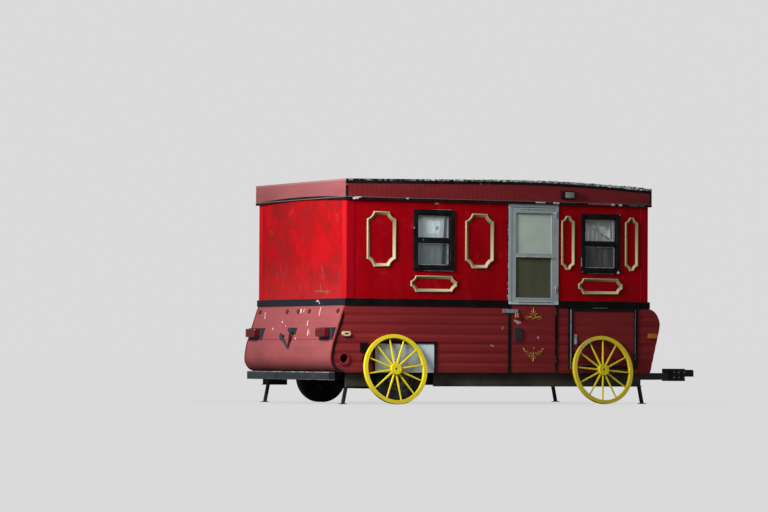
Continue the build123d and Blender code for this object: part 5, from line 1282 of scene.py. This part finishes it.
# Marks on the window frames and on the trims: span from the rear, span in height, how far out
FRAME_MARKS = (
    ((1.010, 1.232), (2.0462, 2.0492), 0.0155),
    ((1.000, 1.050), (2.0462, 2.0482), 0.0155),
    ((0.905, 1.262), (1.4015, 1.4040), 0.0155),
    ((2.905, 3.230), (1.4015, 1.4035), 0.0155),
    ((0.786, 0.796), (1.842, 1.862), 0.0155),
    ((0.894, 0.902), (1.722, 1.732), 0.0155),
    ((2.824, 2.833), (1.477, 1.572), 0.0155),
    ((2.833, 2.845), (1.414, 1.424), 0.0155),
    ((3.302, 3.314), (2.034, 2.044), 0.0155),
    ((2.982, 3.157), (1.0310, 1.0345), 0.0085),
    ((3.5065, 3.5115), (0.476, 1.017), 0.0085),
)
# Droppings on the front window's frame: from the rear, height, radius
FRAME_DROPPINGS = ((3.284, 1.417, 0.0135), (3.296, 1.413, 0.0085), (3.290, 1.432, 0.0050))


def face_box(shape, u_span, z_span, proud_span, side=KERB):
    """A thin box on a side face, by its spans from the rear, in height and outward."""
    corners = [side_point(u, z, proud, side) for u, z, proud in zip(u_span, z_span, proud_span)]
    low = Vector([min(corner[axis] for corner in corners) for axis in range(3)])
    high = Vector([max(corner[axis] for corner in corners) for axis in range(3)])
    shape.box(low, high)


def screw(shape, place, outward, radius=SCREW_RADIUS, rise=SCREW_RISE):
    """A domed screw head."""
    dome = ((rise * 0.4, radius * 0.94), (rise * 0.8, radius * 0.62), (rise, radius * 0.15))
    shape.lathe(place, outward, ((-0.0005, radius), *dome), 10)


def window_beads():
    """Worn glazing beads and weathered lines round the window panes."""
    beads = Shape()
    proud = (BEAD_SET, BEAD_SET + BEAD_PROUD)
    for low, high in solids("window_glass"):
        side = facing(low, high)[0]
        u_low, u_high = low.x - REAR_X, high.x - REAR_X
        if low.z <= UPPER_PANE_FROM:
            face_box(beads, (u_low, u_high), (high.z - 0.009, high.z - 0.002), proud, side)
            face_box(beads, (u_low, u_high), (low.z + 0.001, low.z + 0.009), proud, side)
            face_box(beads, (u_high - 0.016, u_high - 0.004), (low.z, high.z - 0.004), proud, side)
        face_box(beads, (u_high - 0.004, u_high - 0.001), (low.z, high.z), proud, side)
    beads.piece("window_beads", "bead", "storm_aluminium")


def frame_marks():
    """Thin light lines, marks and droppings on the kerb side's frames, and the hatch's bright rear edge."""
    marks = Shape()
    for u_span, z_span, proud in FRAME_MARKS:
        face_box(marks, u_span, z_span, (proud - 0.004, proud))
    marks.piece("light_frame_marks", "bead", "black_trim")
    droppings = Shape()
    for u, z, radius in FRAME_DROPPINGS:
        screw(droppings, side_point(u, z, FRAME_PROUD), (0, -1, 0), radius, 0.0016)
    droppings.piece("frame_droppings", "bird_white", "black_trim")
    strip = Shape()
    face_box(strip, (2.695, 2.709), (0.376, 1.015), (0.007, 0.0095))
    strip.piece("hatch_edge_strip", "bright", "galvanised")


def frame_screws():
    """Screws of the window frames, then rows of them along the side trims and the belt."""
    screws = Shape()
    for low, high in solids("window_frames"):
        side = facing(low, high)[0]
        for share in FRAME_SCREW_SETS:
            z = low.z + (high.z - low.z) * share
            for x in (low.x + FRAME_SCREW_INSET, high.x - FRAME_SCREW_INSET):
                screw(screws, side_point(x - REAR_X, z, FRAME_PROUD, side), (0, side, 0))
    for name, pitch in (("side_trims", 0.16), ("belt", 0.24)):
        for low, high in solids(name):
            beyond = low.x < REAR_X - 0.1 and name == "side_trims"
            if high.y - low.y > 0.06 or beyond:
                continue
            side, face = facing(low, high)
            tall = high.z - low.z > high.x - low.x
            length = high.z - low.z if tall else high.x - low.x
            count = max(2, int(length / pitch))
            for place in range(count):
                share = (place + 0.5) / count
                x = (low.x + high.x) / 2 if tall else low.x + length * share
                z = low.z + length * share if tall else (low.z + high.z) / 2
                screw(screws, (x, face, z), (0, side, 0), TRIM_SCREW_RADIUS)
    screws.piece("trim_screws", "dark_steel", "galvanised")


def door_screws():
    """Screws of the storm door's stiles, its bare edges and dark strips of painted shade for the gaps over
    its panes.
    """
    screws = Shape()
    low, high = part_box("door_upper")
    for x in (low.x + 0.020, high.x - 0.020):
        for share in (0.03, 0.27, 0.49, 0.51, 0.74, 0.97):
            screw(screws, (x, low.y + 0.012, low.z + (high.z - low.z) * share), (0, -1, 0), 0.0035)
    screws.piece("storm_door_screws", "zinc", "galvanised", body="storm_door")
    face = KERB_Y - low.y
    pane_low, pane_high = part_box("door_glass")
    screen_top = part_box("door_screen")[1].z
    middle = (pane_low.z + screen_top) / 2
    u_span = (low.x - REAR_X + 0.045, high.x - REAR_X - 0.052)
    lines = Shape()
    for z_low, z_high, proud in (
        (middle - 0.016, middle - 0.008, 0.0012),
        (high.z - 0.010, high.z - 0.005, 0.0010),
        (low.z + 0.004, low.z + 0.012, 0.0012),
    ):
        face_box(lines, u_span, (z_low, z_high), (face - 0.004, face + proud))
    # Dark strips: painted shade in the gaps over the panes
    gaps = Shape()
    for z in (pane_high.z + 0.0005, screen_top + 0.0005):
        face_box(gaps, u_span, (z, z + 0.005), (face - 0.004, face + 0.0010))
    gaps.piece("storm_door_gaps", "dark_steel", "black_trim", body="storm_door")
    lines.piece("storm_door_edges", "bare", "galvanised", body="storm_door")


STRIP_SEED = 5
STRIP_STEPS = 46
STRIP_FOOT = 1.107
STRIP_TOP = 2.085


def weather_strip():
    """The ragged, flaking strip beside the storm door's rear edge."""
    random.seed(STRIP_SEED)
    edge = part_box("door_frame")[0].x - REAR_X
    outer = []
    inner = []
    for step in range(STRIP_STEPS + 1):
        z = STRIP_FOOT + (STRIP_TOP - STRIP_FOOT) * step / STRIP_STEPS
        outer.append((edge - random.uniform(0.006, 0.020), z))
        inner.append((edge + 0.003, z))
    verts = [side_point(u, z, random.uniform(0.0022, 0.0050)) for u, z in outer + inner]
    row = STRIP_STEPS + 1
    strip = Shape()
    strip.add(verts, [(step, step + 1, row + 1 + step, row + step) for step in range(STRIP_STEPS)])
    strip.piece("weather_strip", "jamb_flakes", "black_trim", smooth=False)


def lamp_parts():
    """Gaskets and ribs of the rear lamps, and the dark centres of the rear side markers."""
    gaskets = Shape()
    ribs = Shape()
    for low, high in solids("tail_lamps"):
        gasket_low = (high.x - 0.010, low.y - 0.003, low.z - 0.003)
        gaskets.box(gasket_low, (high.x - 0.004, high.y + 0.003, high.z + 0.003))
        for share in (0.2, 0.4, 0.6, 0.8):
            y = low.y + (high.y - low.y) * share
            ribs.box((low.x - 0.0015, y - 0.0012, low.z + 0.008), (low.x + 0.002, y + 0.0012, high.z - 0.008))
    bezel = ((0, 0.0255), (0.004, 0.0255), (0.006, 0.0225))
    for low, high in solids("marker_lamps"):
        middle = (low + high) / 2
        gaskets.lathe((high.x - 0.012, middle.y, middle.z), (-1, 0, 0.32), bezel, 20)
    gaskets.piece("lamp_gaskets", "dark_steel", "black_trim")
    ribs.piece("lens_ribs", "lens_red", "lens_red")
    centres = Shape()
    for low, high in solids("side_markers"):
        if low.x > MIDDLE_X:
            continue
        side, face = facing(low, high)
        middle = (low + high) / 2
        rings = []
        for grow, rise in ((1.0, -0.001), (1.0, 0.0006), (0.6, 0.0010)):
            ring = []
            for place in range(20):
                angle = 2 * math.pi * place / 20
                x = middle.x + 0.022 * grow * math.cos(angle)
                z = middle.z + 0.0085 * grow * math.sin(angle)
                ring.append((x, face + side * rise, z))
            rings.append(ring)
        centres.loft(rings)
    centres.piece("marker_centres", "dark_steel", "black_trim")


def porch_lamp_parts():
    """The porch lamp's back plate and the ridges of its lens."""
    low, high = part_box("porch_lamp")
    back = Shape()
    back.box((low.x - 0.006, high.y - 0.012, low.z - 0.006), (high.x + 0.006, high.y, high.z + 0.006))
    back.piece("porch_lamp_back", "black_trim", "black_trim", bevel=0.001)
    ridges = Shape()
    for place in range(7):
        x = low.x + 0.030 + 0.014 * place
        ridges.box((x - 0.0012, low.y - 0.0010, low.z + 0.012), (x + 0.0012, low.y + 0.002, high.z - 0.014))
    ridges.piece("porch_lamp_ridges", "milky", "lamp_white")


CLAMP_ROD = 0.0055
CLAMP_HALF_LENGTH = 0.034
CLAMP_HALF_WIDTH = 0.027
NUT_COUNT = 5
NUT_CIRCLE = 0.057
NUT_TURN = 0.3
NUT_PROFILE = ((0, 0.011), (0.030, 0.011), (0.034, 0.007))


def clamp_bolts():
    """The axle's clamps over its springs, and the bolts of the tongue head."""
    clamps = Shape()
    axle_low, axle_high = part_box("axle_beam")
    axle_x = (axle_low.x + axle_high.x) / 2
    for low, high in solids("leaf_springs"):
        middle_y = (low.y + high.y) / 2
        ends = (middle_y - CLAMP_HALF_WIDTH, middle_y + CLAMP_HALF_WIDTH)
        for x in (axle_x - CLAMP_HALF_LENGTH, axle_x + CLAMP_HALF_LENGTH):
            for y in ends:
                clamps.rod((x, y, low.z - 0.006), (x, y, high.z + 0.030), CLAMP_ROD, 10)
            clamps.rod((x, ends[0], high.z + 0.028), (x, ends[1], high.z + 0.028), CLAMP_ROD, 10)
    for low, high in solids("tongue_head"):
        for x in (low.x + 0.040, (low.x + high.x) / 2, high.x - 0.035):
            for z in (low.z + 0.040, high.z - 0.040):
                clamps.lathe((x, low.y, z), (0, -1, 0), ((-0.001, 0.010), (0.007, 0.010)), 6)
    clamps.piece("clamp_bolts", "zinc", "wheel_steel")


def wheel_nuts():
    for body, node in (("wheel_kerb", "hub_kerb"), ("wheel_far", "hub_far")):
        low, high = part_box(node)
        side, face = facing(low, high)
        middle = (low + high) / 2
        nuts = Shape()
        for place in range(NUT_COUNT):
            angle = 2 * math.pi * place / NUT_COUNT + NUT_TURN
            x = middle.x + NUT_CIRCLE * math.cos(angle)
            z = middle.z + NUT_CIRCLE * math.sin(angle)
            nuts.lathe((x, face - side * 0.030, z), (0, side, 0), NUT_PROFILE, 6)
        nuts.piece(f"wheel_nuts_{side}", "zinc", "wheel_steel", body=body)


window_beads()
frame_marks()
frame_screws()
door_screws()
weather_strip()
lamp_parts()
porch_lamp_parts()
clamp_bolts()
wheel_nuts()

# Flaked lining along the roof's edge
FLAKE_START = 0.80
FLAKE_COUNT = 190
FLAKE_SEED = 11


def roof_flakes():
    """Ragged curls of old roof coating along the kerb edge, thicker towards the front."""
    random.seed(FLAKE_SEED)
    flakes = Shape()
    outer_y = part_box("roof_skin")[0].y
    rim = sorted((v.co.x, v.co.z) for v in nodes["roof_skin"].data.vertices if v.co.y < outer_y + 0.002)
    top = {}
    for x, z in rim:
        top[round(x, 3)] = max(z, top.get(round(x, 3), -1))
    xs = sorted(top)

    def edge_height(x):
        for before, after in zip(xs, xs[1:]):
            if before <= x <= after and after > before:
                share = (x - before) / (after - before)
                return top[before] + (top[after] - top[before]) * share
        return top[xs[-1]]

    for step in range(FLAKE_COUNT):
        from_rear = FLAKE_START + (FRONT_X - REAR_X - FLAKE_START) * step / FLAKE_COUNT
        forward = step / FLAKE_COUNT
        if random.random() > 0.35 + 0.65 * forward:
            continue
        length = random.uniform(0.014, 0.045)
        x = REAR_X + from_rear + random.uniform(-0.01, 0.01)
        drop = random.uniform(0.006, 0.012 + 0.014 * forward)
        rise = random.uniform(0.001, 0.003 + 0.009 * forward)
        out = random.uniform(0.001, 0.005)
        z = edge_height(x)
        tilt = random.uniform(-0.008, 0.008)
        verts = [
            (x, outer_y - 0.001, z - drop),
            (x + length, outer_y - 0.001, z - drop + tilt),
            (x + length * 0.95, outer_y - out, z + rise * random.uniform(0.2, 1.0)),
            (x + length * 0.50, outer_y - out * 0.5, z + rise),
            (x + length * 0.05, outer_y - out, z + rise * random.uniform(0.2, 1.0)),
            (x, outer_y + 0.030, z + 0.002),
            (x + length, outer_y + 0.030, z + 0.002),
        ]
        flakes.add(verts, [(0, 1, 2, 3, 4), (4, 3, 5), (3, 2, 6), (3, 6, 5)])
    flakes.piece("roof_flakes", "flakes", "roof_sheet", smooth=False)


roof_flakes()


# Stage, lamps and camera
FLOOR_REACH = 3000.0
FLOOR_COLOUR = (0.62, 0.62, 0.615)
FLOOR_GLOW = 0.60
BACKDROP = (0.7045, 0.7060, 0.7050)
KEY_PLACE = (-4.2, -1.6, 3.6)
KEY_POWER = 560.0
KEY_SIZE = 2.2
FILL_POWER = 200.0
WORLD_LEVEL = 0.43


def stage():
    mesh = bpy.data.meshes.new("studio_floor")
    corners = [(x * FLOOR_REACH, y * FLOOR_REACH, 0) for x, y in ((-1, -1), (1, -1), (1, 1), (-1, 1))]
    mesh.from_pydata(corners, [], [(0, 1, 2, 3)])
    floor = bpy.data.objects.new("studio_floor", mesh)
    bpy.context.scene.collection.objects.link(floor)
    material = bpy.data.materials.new("studio_floor")
    material.use_nodes = True
    tree = material.node_tree
    shader = tree.nodes["Principled BSDF"]
    shader.inputs["Base Color"].default_value = (*FLOOR_COLOUR, 1)
    shader.inputs["Roughness"].default_value = 0.95
    shader.inputs["Specular IOR Level"].default_value = 0.0
    glow = tree.nodes.new("ShaderNodeEmission")
    glow.inputs["Color"].default_value = (1.0, 1.0, 0.995, 1)
    rays = tree.nodes.new("ShaderNodeLightPath")
    share = tree.nodes.new("ShaderNodeMath")
    share.operation = "MULTIPLY"
    share.inputs[1].default_value = FLOOR_GLOW
    tree.links.new(rays.outputs["Is Camera Ray"], share.inputs[0])
    mixer = tree.nodes.new("ShaderNodeMixShader")
    tree.links.new(share.outputs[0], mixer.inputs[0])
    tree.links.new(shader.outputs[0], mixer.inputs[1])
    tree.links.new(glow.outputs[0], mixer.inputs[2])
    tree.links.new(mixer.outputs[0], tree.nodes["Material Output"].inputs["Surface"])
    mesh.materials.append(material)


def sky():
    world = bpy.data.worlds.new("studio")
    bpy.context.scene.world = world
    world.use_nodes = True
    tree = world.node_tree
    ambient = tree.nodes["Background"]
    ambient.inputs["Color"].default_value = (0.96, 0.98, 1.0, 1)
    ambient.inputs["Strength"].default_value = WORLD_LEVEL
    plain = tree.nodes.new("ShaderNodeBackground")
    plain.inputs["Color"].default_value = (*BACKDROP, 1)
    rays = tree.nodes.new("ShaderNodeLightPath")
    mixer = tree.nodes.new("ShaderNodeMixShader")
    tree.links.new(rays.outputs["Is Camera Ray"], mixer.inputs[0])
    tree.links.new(ambient.outputs[0], mixer.inputs[1])
    tree.links.new(plain.outputs[0], mixer.inputs[2])
    tree.links.new(mixer.outputs[0], tree.nodes["World Output"].inputs["Surface"])


def area_lamp(name, place, target, size, power, spread=180):
    data = bpy.data.lights.new(name, "AREA")
    data.shape = "DISK"
    data.size = size
    data.energy = power
    data.spread = math.radians(spread)
    lamp = bpy.data.objects.new(name, data)
    bpy.context.scene.collection.objects.link(lamp)
    lamp.location = place
    aim = Vector(target) - Vector(place)
    lamp.rotation_euler = aim.to_track_quat("-Z", "Y").to_euler()
    lamp.visible_camera = False
    return lamp


def lamps():
    corner = Vector((REAR_X, KERB_Y, 0))
    key_place = corner + Vector(KEY_PLACE)
    key = area_lamp("key", key_place, (REAR_X + 0.4, MID_Y - 0.3, 1.2), KEY_SIZE, KEY_POWER, 150)
    fill_place = (FRONT_X + 4.5, FAR_Y + 5.0, 4.5)
    fill = area_lamp("fill", fill_place, (0, MID_Y, 1.2), 4.0, FILL_POWER)
    lit = bpy.data.collections.new("lit_by_lamps")
    lit.objects.link(bpy.data.objects["studio_floor"])
    lit.collection_objects[0].light_linking.link_state = "EXCLUDE"
    for lamp in (key, fill):
        lamp.light_linking.receiver_collection = lit


# The photograph's camera, solved from the body's edges: place from the rear kerb corner, and angles
CAMERA_PLACE = (-17.9276, -35.0349, 0.4741)
CAMERA_YAW = 27.6657
CAMERA_PITCH = 1.5565
CAMERA_ROLL = 0.2996
FOCAL_PIXELS = 3786.22
PHOTO_WIDTH = 768
SENSOR = 36.0


def camera():
    data = bpy.data.cameras.new("photo_camera")
    data.sensor_width = SENSOR
    data.sensor_fit = "HORIZONTAL"
    data.lens = FOCAL_PIXELS / PHOTO_WIDTH * SENSOR
    data.clip_end = 5000
    made = bpy.data.objects.new("photo_camera", data)
    bpy.context.scene.collection.objects.link(made)
    yaw, pitch, roll = (math.radians(a) for a in (CAMERA_YAW, CAMERA_PITCH, CAMERA_ROLL))
    ahead = Vector((math.sin(yaw) * math.cos(pitch), math.cos(yaw) * math.cos(pitch), math.sin(pitch)))
    level = Vector((math.cos(yaw), -math.sin(yaw), 0))
    over = level.cross(ahead)
    right = level * math.cos(roll) + over * math.sin(roll)
    up = over * math.cos(roll) - level * math.sin(roll)
    turn = Matrix((right, up, -ahead)).transposed()
    place = Vector((REAR_X, KERB_Y, 0)) + Vector(CAMERA_PLACE)
    made.matrix_world = Matrix.Translation(place) @ turn.to_4x4()
    bpy.context.scene.camera = made


stage()
sky()
lamps()
camera()
bpy.context.scene.view_settings.view_transform = "Standard"
